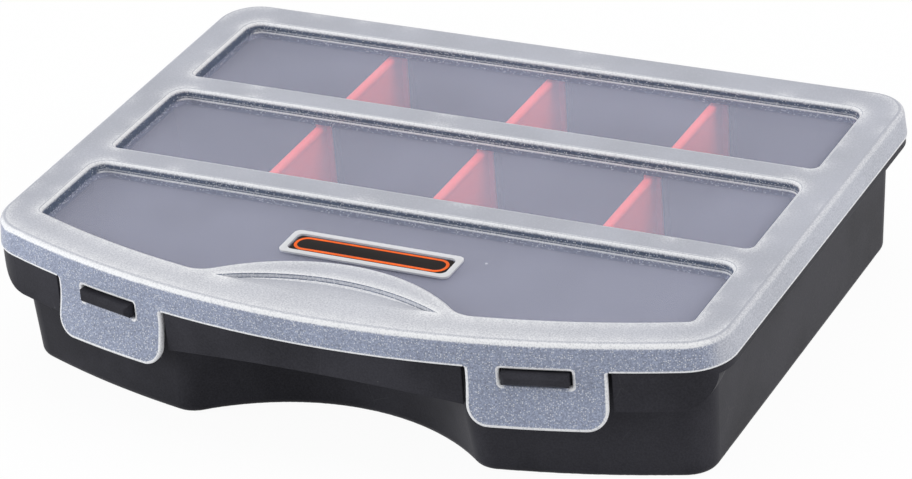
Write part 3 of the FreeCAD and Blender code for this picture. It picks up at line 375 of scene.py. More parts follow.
def grain_group():
    """Moulded grain: an uneven fine surface, scattered bright points and slow clouding."""
    if "moulded_grain" in bpy.data.node_groups:
        return bpy.data.node_groups["moulded_grain"]
    group, start, end = new_group(
        "moulded_grain",
        (
            ("Vector", "NodeSocketVector", None),
            ("Grain Size", "NodeSocketFloat", 0.0004),
            ("Sparkle Share", "NodeSocketFloat", 0.1),
            ("Cloud Size", "NodeSocketFloat", 0.02),
        ),
        ("Grain", "Sparkle", "Cloud"),
    )
    place = start.outputs["Vector"]
    fine = ratio(group, 1.0, start.outputs["Grain Size"])
    fine_noise = noise(group, place, fine, 2.0, 0.6)
    cells = add(group, "ShaderNodeTexVoronoi", {"Vector": place, "Scale": fine})
    drawn = add(group, "ShaderNodeSeparateColor", {"Color": cells.outputs["Color"]}).outputs["Red"]
    chosen = exceeds(group, start.outputs["Sparkle Share"], drawn)
    point = ramp(group, cells.outputs["Distance"], 0.5, 0.2)
    coarse = ratio(group, 1.0, start.outputs["Cloud Size"])
    cloud = noise(group, place, coarse, 3.0, 0.55)
    give(group, end.inputs["Grain"], ramp(group, fine_noise["Fac"], 0.28, 0.72))
    give(group, end.inputs["Sparkle"], times(group, chosen, point))
    give(group, end.inputs["Cloud"], ramp(group, cloud["Fac"], 0.25, 0.75))
    return group


def wear_group():
    """Handling marks: small specks, and fine scratches in loose bundles."""
    if "handling_marks" in bpy.data.node_groups:
        return bpy.data.node_groups["handling_marks"]
    group, start, end = new_group(
        "handling_marks",
        (
            ("Vector", "NodeSocketVector", None),
            ("Speck Spacing", "NodeSocketFloat", 0.012),
            ("Speck Size", "NodeSocketFloat", 0.03),
            ("Scratch Spacing", "NodeSocketFloat", 0.01),
        ),
        ("Specks", "Scratches"),
    )
    place = start.outputs["Vector"]
    dense = ratio(group, 1.0, start.outputs["Speck Spacing"])
    cells = add(group, "ShaderNodeTexVoronoi", {"Vector": place, "Scale": dense})
    drawn = add(group, "ShaderNodeSeparateColor", {"Color": cells.outputs["Color"]})
    reach = times(group, start.outputs["Speck Size"], drawn.outputs["Green"])
    near = minus(group, reach, cells.outputs["Distance"])
    speck = exceeds(group, near, 0.0)
    some = exceeds(group, drawn.outputs["Red"], 0.45)
    give(group, end.inputs["Specks"], times(group, speck, some))
    lines = ratio(group, 1.0, start.outputs["Scratch Spacing"])
    bend = noise(group, place, times(group, lines, 0.4))
    bent = add(group, "ShaderNodeVectorMath", {0: bend["Color"], "Scale": 0.012}, operation="SCALE")
    moved = add(group, "ShaderNodeVectorMath", {0: place, 1: bent.outputs[0]}, operation="ADD")
    cracks = {"Vector": moved.outputs[0], "Scale": lines}
    edges = add(group, "ShaderNodeTexVoronoi", cracks, feature="DISTANCE_TO_EDGE")
    line = ramp(group, edges.outputs["Distance"], 0.018, 0.004)
    patch = noise(group, place, times(group, lines, 0.7))
    bundle = ramp(group, patch["Fac"], 0.58, 0.68)
    give(group, end.inputs["Scratches"], times(group, line, bundle))
    return group


def use_group(tree, group, place, **values):
    """The outputs of a group that is placed in a material, with values for its inputs."""
    inputs = {name.replace("_", " ").title(): value for name, value in values.items()}
    return add(tree, "ShaderNodeGroup", {"Vector": place, **inputs}, node_tree=group).outputs


def new_material(name):
    """A material, its tree, its shader and where a point is on the object."""
    material = bpy.data.materials.new(name)
    material.use_nodes = True
    tree = material.node_tree
    place = add(tree, "ShaderNodeTexCoord").outputs["Object"]
    return material, tree, tree.nodes["Principled BSDF"], place


def painted(tree, name):
    return add(tree, "ShaderNodeAttribute", attribute_name=name).outputs["Fac"]


def bumped(tree, shader, height, strength, distance, soft_edge=0.0):
    """Bump on a shader, over edges that are softened where asked."""
    bump = add(tree, "ShaderNodeBump", {"Height": height, "Strength": strength, "Distance": distance})
    if soft_edge:
        bevel = add(tree, "ShaderNodeBevel", {"Radius": soft_edge}, samples=6)
        give(tree, bump.inputs["Normal"], bevel.outputs["Normal"])
    give(tree, shader.inputs["Normal"], bump.outputs["Normal"])


def frosted_plastic():
    """Grained plastic with light and shade painted on: pale on top, a bluer painted shade upright, painted
    shade down to the panes, painted highlights near white along edges.
    """
    shades = colours()
    material, tree, shader, place = new_material("frosted_plastic")
    grain = use_group(tree, grain_group(), place, grain_size=0.00044, sparkle_share=0.36, cloud_size=0.03)
    # Painted attributes: side is painted shade on upright faces, recess is painted shade on walls and
    # creases, edge is painted highlight; side and recess also mark the grained faces
    side, recess, edge = (painted(tree, name) for name in ("side", "recess", "edge"))
    rough_face = larger(tree, side, recess)
    # Painted shade: upright faces take the bluer shaded copy of the colour
    tone = mixed(tree, side, opaque(shades.frosted_top), opaque(shades.frosted_side_shade))
    # Painted shade: dark on the recess walls and at the scoop's creases
    tone = mixed(tree, recess, tone, opaque(shades.frosted_recess_shade))
    uneven = minus(tree, grain["Grain"], 0.5)
    lift = times(tree, uneven, spread(tree, rough_face, 0.12, 0.65))
    drift = times(tree, minus(tree, grain["Cloud"], 0.5), 0.16)
    tone = shaded(tree, tone, plus(tree, plus(tree, lift, drift), 1.0))
    # Grain sparkle, painted near white as glints where the grain shows
    glitter = times(tree, grain["Sparkle"], spread(tree, rough_face, 0.12, 0.68))
    tone = mixed(tree, glitter, tone, opaque(shades.frosted_highlight_and_marks))
    # Painted highlight along edges, broken up by the grain
    broken = plus(tree, times(tree, uneven, 0.8), edge)
    pale = times(tree, smaller(tree, broken, 1.0, clamp=True), edge, clamp=True)
    tone = mixed(tree, pale, tone, opaque(shades.frosted_highlight_and_marks))
    rough = spread(tree, grain["Grain"], 0.36, 0.52)
    feed(tree, shader, {"Base Color": tone, "Roughness": rough, "IOR": 1.49})
    bumped(tree, shader, grain["Grain"], strength=0.35, distance=0.00008)
    return material


def clear_pane():
    """Hazy clear plastic that lamps shine through, its haze partly painted reflection, with a few specks and
    a painted highlight on the lip round the badge.
    """
    shades = colours()
    material, tree, shader, place = new_material("clear_pane")
    grain = use_group(tree, grain_group(), place, grain_size=0.0006, sparkle_share=0.02, cloud_size=0.045)
    marks = use_group(tree, wear_group(), place, speck_spacing=0.017, speck_size=0.034, scratch_spacing=0.03)
    height = add(tree, "ShaderNodeSeparateXYZ", {"Vector": place}).outputs["Z"]
    level = REAR_PANE[1].z
    # Painted highlight on the raised lip round the badge
    lip = ramp(tree, height, *(level + above for above in LIP_HIGHLIGHT_HEIGHTS))
    drift = spread(tree, grain["Cloud"], 0.95, 1.05)
    # Haze colour: the plastic's own haze, lifted to stand in for painted reflection
    haze = shaded(tree, opaque(shades.pane_haze_and_sheen), drift)
    mark = larger(tree, marks["Specks"], times(tree, marks["Scratches"], 0.08))
    # Pale: the panes' real specks and scratches, and the painted lip highlight
    pale = larger(tree, times(tree, mark, 0.6), lip)
    tone = mixed(tree, pale, haze, opaque(shades.frosted_highlight_and_marks))
    veil = spread(tree, pale, shades.pane_veil, 0.72)
    lamp = add(tree, "ShaderNodeLightPath").outputs["Is Shadow Ray"]
    alpha = times(tree, veil, spread(tree, lamp, 1.0, 0.1))
    rough = spread(tree, grain["Cloud"], 0.12, 0.17)
    feed(tree, shader, {"Base Color": tone, "Alpha": alpha, "Roughness": rough})
    return material


def tray_plastic():
    """Black satin plastic with a fine moulded grain, specks and light scuffs."""
    shades = colours()
    material, tree, shader, place = new_material("tray_plastic")
    grain = use_group(tree, grain_group(), place, grain_size=0.0005, sparkle_share=0.05, cloud_size=0.03)
    marks = use_group(tree, wear_group(), place, speck_spacing=0.011, speck_size=0.035, scratch_spacing=0.012)
    drift = spread(tree, grain["Cloud"], 0.8, 1.2)
    lift = times(tree, minus(tree, grain["Grain"], 0.5), 0.25)
    tone = shaded(tree, opaque(shades.tray_black), plus(tree, drift, lift))
    scuff = times(tree, marks["Scratches"], 0.14)
    mark = larger(tree, times(tree, marks["Specks"], 0.6), scuff)
    tone = mixed(tree, mark, tone, opaque(shades.tray_worn))
    rough = spread(tree, grain["Grain"], 0.34, 0.46)
    feed(tree, shader, {"Base Color": tone, "Roughness": rough, "Specular IOR Level": 0.035})
    bumped(tree, shader, grain["Grain"], strength=0.18, distance=0.00005, soft_edge=0.00035)
    return material


def coral_plastic():
    """Coral plastic, a little paler in slow clouds and at scattered points."""
    shades = colours()
    material, tree, shader, place = new_material("coral_plastic")
    grain = use_group(tree, grain_group(), place, grain_size=0.0007, sparkle_share=0.06, cloud_size=0.016)
    pale = times(tree, grain["Cloud"], 0.22)
    pale = plus(tree, pale, times(tree, grain["Sparkle"], 0.10))
    tone = mixed(tree, pale, opaque(shades.coral), opaque(shades.coral_pale))
    lift = times(tree, minus(tree, grain["Grain"], 0.5), 0.10)
    tone = shaded(tree, tone, plus(tree, lift, 1.0))
    feed(tree, shader, {"Base Color": tone, "Roughness": spread(tree, grain["Grain"], 0.38, 0.5)})
    bumped(tree, shader, grain["Grain"], strength=0.15, distance=0.00006)
    return material


def badge_film(name, tone):
    """Printed film, duller where it is worn."""
    material, tree, shader, place = new_material(name)
    grain = use_group(tree, grain_group(), place, grain_size=0.0004, sparkle_share=0.03, cloud_size=0.006)
    marks = use_group(tree, wear_group(), place, speck_spacing=0.004, speck_size=0.03, scratch_spacing=0.005)
    tone = shaded(tree, opaque(tone), spread(tree, grain["Cloud"], 0.88, 1.12))
    worn = larger(tree, marks["Specks"], marks["Scratches"])
    rough = spread(tree, worn, 0.2, 0.36)
    feed(tree, shader, {"Base Color": tone, "Roughness": rough, "Specular IOR Level": 0.05})
    bumped(tree, shader, grain["Cloud"], strength=0.06, distance=0.0001)
    return material


def finish(name):
    """A finish of the organizer, made when it is first asked for."""
    if name not in bpy.data.materials or not bpy.data.materials[name].get("organizer_finish"):
        makers = {
            "frosted_plastic": frosted_plastic,
            "clear_pane": clear_pane,
            "tray_plastic": tray_plastic,
            "coral_plastic": coral_plastic,
            "badge_film": lambda: badge_film("badge_film", colours().badge_black),
            "badge_line": lambda: badge_film("badge_line", colours().badge_orange),
        }
        for old in [item for item in bpy.data.materials if item.name == name]:
            old.name = "packed_" + name
        made = makers[name]()
        made.name = name
        made["organizer_finish"] = True
    return bpy.data.materials[name]


def dress(node, name):
    """Gives a node of the frame a finish."""
    for slot in frame["nodes"][node].material_slots:
        slot.material = finish(name)


# Meshes
def new_piece(name, mesh, finish_name):
    """An object for a finished mesh, at the origin."""
    mesh.materials.clear()
    mesh.materials.append(finish(finish_name))
    piece = bpy.data.objects.new(name, mesh)
    bpy.context.scene.collection.objects.link(piece)
    return piece


def paint(mesh, name, domain, values):
    attribute = mesh.attributes.new(name, "FLOAT", domain)
    attribute.data.foreach_set("value", np.asarray(values, np.float32))


def read(items, name, width):
    values = np.zeros(len(items) * width, np.float32)
    items.foreach_get(name, values)
    return values.reshape(-1, width)


def split_edges(points, triangles, normals, where):
    """Splits edges of triangles, each at the share along it that where() gives, or not where it gives nan."""
    ends = triangles[:, [[0, 1], [1, 2], [2, 0]]]
    ordered = np.sort(ends, axis=2)
    keys, number = np.unique(ordered[:, :, 0] * len(points) + ordered[:, :, 1], return_inverse=True)
    edges, number = np.stack(divmod(keys, len(points)), 1), number.reshape(-1, 3)
    shares = where(points[edges[:, 0]], points[edges[:, 1]])
    cut = ~np.isnan(shares)
    added = np.full(len(edges), -1)
    added[cut] = len(points) + np.arange(cut.sum())
    part = shares[cut][:, None]
    points = np.vstack((points, points[edges[cut, 0]] * (1 - part) + points[edges[cut, 1]] * part))
    middles = added[number]
    along = np.where(ends[:, :, 0] != ordered[:, :, 0], 1 - shares[number], shares[number])[:, :, None]
    between = normals * (1 - along) + np.roll(normals, -1, axis=1) * along
    corners = np.concatenate((triangles, middles), axis=1)
    facing = np.concatenate((normals, between), axis=1)
    split = middles >= 0
    count = split.sum(axis=1)
    first = np.where(count == 2, (np.argmin(split, axis=1) + 1) % 3, np.argmax(split, axis=1))
    turn = (first[:, None] + np.arange(3)) % 3
    order = np.concatenate((turn, turn + 3), axis=1)
    corners = np.take_along_axis(corners, order, axis=1)
    facing = np.take_along_axis(facing, order[:, :, None], axis=1)
    spots = points[np.maximum(corners, 0)]
    one_way, other_way = spots[:, 0] - spots[:, 4], spots[:, 3] - spots[:, 2]
    short = np.linalg.norm(one_way, axis=1) <= np.linalg.norm(other_way, axis=1)
    patterns = (
        (count == 0, ((0, 1, 2),)),
        (count == 1, ((0, 3, 2), (3, 1, 2))),
        ((count == 2) & short, ((3, 1, 4), (0, 3, 4), (0, 4, 2))),
        ((count == 2) & ~short, ((3, 1, 4), (0, 3, 2), (3, 4, 2))),
        (count == 3, ((0, 3, 5), (3, 1, 4), (5, 4, 2), (3, 4, 5))),
    )
    picks = [(rows, corner) for rows, group in patterns for corner in group]
    parts = [np.vstack([item[rows][:, pick] for rows, pick in picks]) for item in (corners, facing)]
    return points, *parts


def refined_copy(node, name, longest, levels):
    """A merged copy of a node's mesh, cut at some levels, with no long edges on its top, and its normals."""
    source = frame["nodes"][node].data
    places = read(source.vertices, "co", 3)
    normals = read(source.corner_normals, "vector", 3).reshape(-1, 3, 3)
    triangles = read(source.loops, "vertex_index", 1).astype(int).reshape(-1, 3)
    _, first, merged = np.unique(np.round(places, 6), axis=0, return_index=True, return_inverse=True)
    points, triangles = places[first], merged.reshape(-1)[triangles]
    real = (triangles != np.roll(triangles, 1, axis=1)).all(axis=1)
    triangles, normals = triangles[real], normals[real]
    for level in levels:

        def crossing(start, end, level=level):
            below, above = start[:, 2] - level, end[:, 2] - level
            crosses = (below * above < 0) & (np.minimum(abs(below), abs(above)) > TOUCH)
            return np.where(crosses, below / np.where(crosses, below - above, 1.0), np.nan)

        points, triangles, normals = split_edges(points, triangles, normals, crossing)
    top = points[:, 2].max() - LEVEL_TOUCH

    def too_long(start, end):
        on_top = np.minimum(start[:, 2], end[:, 2]) > top
        return np.where(on_top & (np.linalg.norm(end - start, axis=1) > longest), 0.5, np.nan)

    for _ in range(SPLIT_ROUNDS):
        points, triangles, normals = split_edges(points, triangles, normals, too_long)
    mesh = bpy.data.meshes.new(name)
    mesh.from_pydata(points, [], triangles)
    mesh.shade_smooth()
    normals = normals.reshape(-1, 3)
    normals /= np.maximum(np.linalg.norm(normals, axis=1, keepdims=True), NEARLY_ZERO)
    mesh.normals_split_custom_set(normals)
    return mesh, normals


def corner_places(mesh):
    numbers = read(mesh.loops, "vertex_index", 1).astype(int).reshape(-1)
    return read(mesh.vertices, "co", 3)[numbers]


def smooth_step(values, low, high):
    share_done = np.clip((values - low) / (high - low), 0.0, 1.0)
    return share_done * share_done * (3.0 - 2.0 * share_done)


def blended(part, first, second):
    """The first values where part is 1, the second where it is 0."""
    return first * part + second * (1.0 - part)


def nearest(points):
    """A search for the nearest of some points."""
    search = KDTree(len(points))
    for number, spot in enumerate(points):
        search.insert(spot, number)
    search.balance()
    return search


def arc_points(centre, radius, start, end, count):
    """Points on an arc, angles in degrees."""
    turns = np.radians(np.linspace(start, end, count))
    return [(centre[0] + radius * math.cos(turn), centre[1] + radius * math.sin(turn)) for turn in turns]


def rounded_rectangle(half_width, low, high, corner, count=7):
    """Points round a rectangle, counterclockwise."""
    spots = (
        ((half_width - corner, low + corner), -90),
        ((half_width - corner, high - corner), 0),
        ((-half_width + corner, high - corner), 90),
        ((-half_width + corner, low + corner), 180),
    )
    points = []
    for centre, start in spots:
        points += arc_points(centre, corner, start, start + 90, count)
    return points


def divided(loop, longest):
    """A closed loop of points with its long runs divided."""
    points = []
    for (x, y), (next_x, next_y) in zip(loop, loop[1:] + loop[:1]):
        run, rise = next_x - x, next_y - y
        parts = max(1, math.ceil(math.hypot(run, rise) / longest))
        points += [(x + run * part / parts, y + rise * part / parts) for part in range(parts)]
    return points


def inward(loop):
    """Unit-width steps from a loop into the plate, which lies at its left."""
    points = np.array(loop)
    before, after = points - np.roll(points, 1, 0), np.roll(points, -1, 0) - points
    before /= np.linalg.norm(before, axis=1, keepdims=True)
    after /= np.linalg.norm(after, axis=1, keepdims=True)
    both = np.stack((-before[:, 1] - after[:, 1], before[:, 0] + after[:, 0]), 1)
    both /= np.linalg.norm(both, axis=1, keepdims=True)
    across = np.stack((-after[:, 1], after[:, 0]), 1)
    return both / np.maximum((both * across).sum(1, keepdims=True), MITRE_LEAST)


def within(points, loop):
    """Which points lie inside a closed loop."""
    inside = np.zeros(len(points), bool)
    x, y = points[:, 0], points[:, 1]
    for (ax, ay), (bx, by) in zip(loop, loop[1:] + loop[:1]):
        if ay == by:
            continue
        crosses = ((ay > y) != (by > y)) & (x < (bx - ax) * (y - ay) / (by - ay) + ax)
        inside ^= crosses
    return inside


def face_triangles(loops, step):
    """Points and triangles that fill the first loop outside the others, with points of a grid between."""
    rim = [point for loop in loops for point in loop]
    edges, first = [], 0
    for loop in loops:
        edges += [(first + n, first + (n + 1) % len(loop)) for n in range(len(loop))]
        first += len(loop)
    low, high = np.min(loops[0], axis=0), np.max(loops[0], axis=0)
    across, along = (np.arange(a + step / 2, b, step) for a, b in zip(low, high))
    grid = np.array([(x, y) for y in along for x in across])
    search = nearest([(x, y, 0.0) for x, y in rim])
    clear = np.array([search.find((x, y, 0.0))[2] > step * GRID_CLEAR_SHARE for x, y in grid])
    room = clear & within(grid, loops[0])
    for loop in loops[1:]:
        room &= ~within(grid, loop)
    points = [Vector(point) for point in rim] + [Vector(point) for point in grid[room]]
    made, _, faces, origins, _, _ = delaunay_2d_cdt(points, edges, [], 1, NEARLY_ZERO)
    number = [min(origin) for origin in origins]
    middles = np.array([np.mean([made[n] for n in face], axis=0) for face in faces])
    solid = within(middles, loops[0])
    for loop in loops[1:]:
        solid &= ~within(middles, loop)
    triangles = [[number[n] for n in face] for face, keep in zip(faces, solid) if keep]
    return points, triangles


def rounded_plate(name, loops, thickness, edge_round, place, step, turns=4, line=0.0):
    """A plate with rounded edges, its outline counterclockwise and its holes clockwise. place() sets a point
    of the plate, at some depth below its face, into the object. Also gives how near an edge each vertex is:
    1 on the rounds and across a line beside them, 0 further in."""
    ways = [inward(loop) for loop in loops]
    bends = np.radians(np.linspace(0, 90, turns))
    rings = [(edge_round * (1 - math.sin(bend)), edge_round * (1 - math.cos(bend))) for bend in bends]
    near = [1.0] * turns
    if line:
        rings = [(edge_round + 2 * line, 0.0), (edge_round + line, 0.0)] + rings
        near = [0.0, 1.0] + near
    rim_inset = rings[0][0]
    rings += [(inset, thickness - depth) for inset, depth in reversed(rings)]
    near += near[::-1]
    vertices, faces, nearness, numbered = [], [], [], []
    for ring, (inset, depth) in enumerate(rings):
        numbered.append(len(vertices))
        for loop, way in zip(loops, ways):
            for (u, v), (du, dv) in zip(loop, way):
                vertices.append(place(u + du * inset, v + dv * inset, depth))
                nearness.append(near[ring])
    for upper, lower in zip(numbered, numbered[1:]):
        first = 0
        for loop in loops:
            for n in range(len(loop)):
                a, b = first + n, first + (n + 1) % len(loop)
                faces.append((upper + a, lower + a, lower + b, upper + b))
            first += len(loop)
    inner = [[tuple(point) for point in np.array(loop) + way * rim_inset] for loop, way in zip(loops, ways)]
    points, triangles = face_triangles(inner, step)
    count = sum(len(loop) for loop in loops)
    for base, depth, flip in ((numbered[0], 0.0, False), (numbered[-1], thickness, True)):
        extra = len(vertices)
        for point in points[count:]:
            vertices.append(place(point.x, point.y, depth))
            nearness.append(0.0)
        for triangle in triangles:
            corners = [base + n if n < count else extra + n - count for n in triangle]
            faces.append(corners[::-1] if flip else corners)
    mesh = bpy.data.meshes.new(name)
    mesh.from_pydata(vertices, [], faces)
    mesh.shade_smooth()
    mesh.update()
    return mesh, nearness


# Geometry nodes
def divider_tree():
    """A divider along Y: plate, thick top edge and a cross strip at each end, its rear end leaning."""
    if "divider_shape" in bpy.data.node_groups:
        return bpy.data.node_groups["divider_shape"]
    tree = bpy.data.node_groups.new("divider_shape", "GeometryNodeTree")
    labels = ("Column", "Front", "Rear Low", "Rear High", "Bottom", "Top", "Thickness", "Bead Thickness")
    labels += ("Bead Height", "Strip Width", "Strip Thickness", "Round")
    for label in labels:
        socket = tree.interface.new_socket(label, in_out="INPUT", socket_type="NodeSocketFloat")
        socket.subtype = "DISTANCE"
    tree.interface.new_socket("Finish", in_out="INPUT", socket_type="NodeSocketMaterial")
    tree.interface.new_socket("Divider", in_out="OUTPUT", socket_type="NodeSocketGeometry")
    given = tree.nodes.new("NodeGroupInput").outputs

    def point(x, y, z):
        return add(tree, "ShaderNodeCombineXYZ", {"X": x, "Y": y, "Z": z}).outputs[0]

    def middle(first, second):
        return times(tree, plus(tree, first, second), 0.5)

    def bar(width, height, start, end, corner):
        """A bar with rounded edges from one point to another."""
        outline = add(tree, "GeometryNodeCurvePrimitiveQuadrilateral", {"Width": width, "Height": height})
        rounding = {"Curve": outline.outputs[0], "Radius": corner, "Count": 4}
        soft = add(tree, "GeometryNodeFilletCurve", rounding, mode="POLY")
        line = add(tree, "GeometryNodeCurvePrimitiveLine", {"Start": start, "End": end})
        upright = add(tree, "GeometryNodeSetCurveNormal", {"Curve": line.outputs[0]}, mode="Z_UP")
        swept = {"Curve": upright.outputs[0], "Profile Curve": soft.outputs[0], "Fill Caps": True}
        return add(tree, "GeometryNodeCurveToMesh", swept).outputs[0]

    bottom, top, front, rear = (given[label] for label in ("Bottom", "Top", "Front", "Rear Low"))
    corner, strip = given["Round"], given["Strip Thickness"]
    half_strip = times(tree, strip, 0.5)
    sill = minus(tree, top, corner)
    plate_level = middle(bottom, sill)
    plate_front, plate_rear = plus(tree, front, half_strip), minus(tree, rear, half_strip)
    plate = bar(
        given["Thickness"],
        minus(tree, sill, bottom),
        point(0.0, plate_front, plate_level),
        point(0.0, plate_rear, plate_level),
        corner,
    )
    bead_level = minus(tree, top, times(tree, given["Bead Height"], 0.5))
    bead = bar(
        given["Bead Thickness"],
        given["Bead Height"],
        point(0.0, plus(tree, front, BEAD_INSET), bead_level),
        point(0.0, minus(tree, rear, BEAD_INSET), bead_level),
        times(tree, given["Bead Height"], BEAD_ROUND_SHARE),
    )
    post = bar(given["Strip Width"], strip, point(0.0, 0.0, bottom), point(0.0, 0.0, sill), corner)
    start, end = (point(0.0, place, 0.0) for place in (plate_front, plate_rear))
    span = {"Count": 2, "Start Location": start, "Offset": end}
    ends = add(tree, "GeometryNodeMeshLine", span, mode="END_POINTS")
    posts = add(tree, "GeometryNodeInstanceOnPoints", {"Points": ends.outputs[0], "Instance": post})
    real = add(tree, "GeometryNodeRealizeInstances", {"Geometry": posts.outputs[0]})
    whole = add(tree, "GeometryNodeMeshBoolean", operation="UNION", solver="EXACT")
    for part in (plate, bead, real.outputs[0]):
        tree.links.new(part, whole.inputs["Mesh 2"])
    place = add(tree, "ShaderNodeSeparateXYZ", {0: add(tree, "GeometryNodeInputPosition").outputs[0]}).outputs

    def done(value, low, high):
        """How far a value is from low to high."""
        return ratio(tree, minus(tree, value, low), minus(tree, high, low))

    turned = times(tree, done(place["Y"], front, rear), done(place["Z"], bottom, top))
    lean = times(tree, minus(tree, given["Rear High"], rear), turned)
    shift = {"Geometry": whole.outputs[0], "Offset": point(given["Column"], lean, 0.0)}
    moved = add(tree, "GeometryNodeSetPosition", shift)
    settled = add(tree, "GeometryNodeRealizeInstances", {"Geometry": moved.outputs[0]})
    finished = {"Geometry": settled.outputs[0], "Material": given["Finish"]}
    dressed = add(tree, "GeometryNodeSetMaterial", finished)
    tree.links.new(dressed.outputs[0], tree.nodes.new("NodeGroupOutput").inputs[0])
    return tree


def grown(name, tree, values):
    """The plain mesh that a tree of geometry nodes makes from some values."""
    seed = bpy.data.objects.new(name + "_seed", bpy.data.meshes.new(name + "_seed"))
    bpy.context.scene.collection.objects.link(seed)
    modifier = seed.modifiers.new("shape", "NODES")
    modifier.node_group = tree
    for item in tree.interface.items_tree:
        if item.item_type == "SOCKET" and item.in_out == "INPUT":
            modifier[item.identifier] = values[item.name]
    seed.update_tag()
    bpy.context.view_layer.update()
    evaluated = seed.evaluated_get(bpy.context.evaluated_depsgraph_get())
    mesh = bpy.data.meshes.new_from_object(evaluated)
    mesh.name = name
    seed.modifiers.remove(modifier)
    bpy.data.objects.remove(seed)
    return mesh


class ORGANIZER_OT_tray(bpy.types.Operator):
    """Finish the tray, its row walls, lugs and hinge pins"""

    bl_idname = "organizer.tray"
    bl_label = "Tray"

    def execute(self, context):
        nodes = ["base_tray", "row_wall_rear", "row_wall_front"]
        nodes += [kind + side for kind in ("lug_", "hinge_pin_") for side in SIDES]
        for node in nodes:
            dress(node, "tray_plastic")
        return {"FINISHED"}


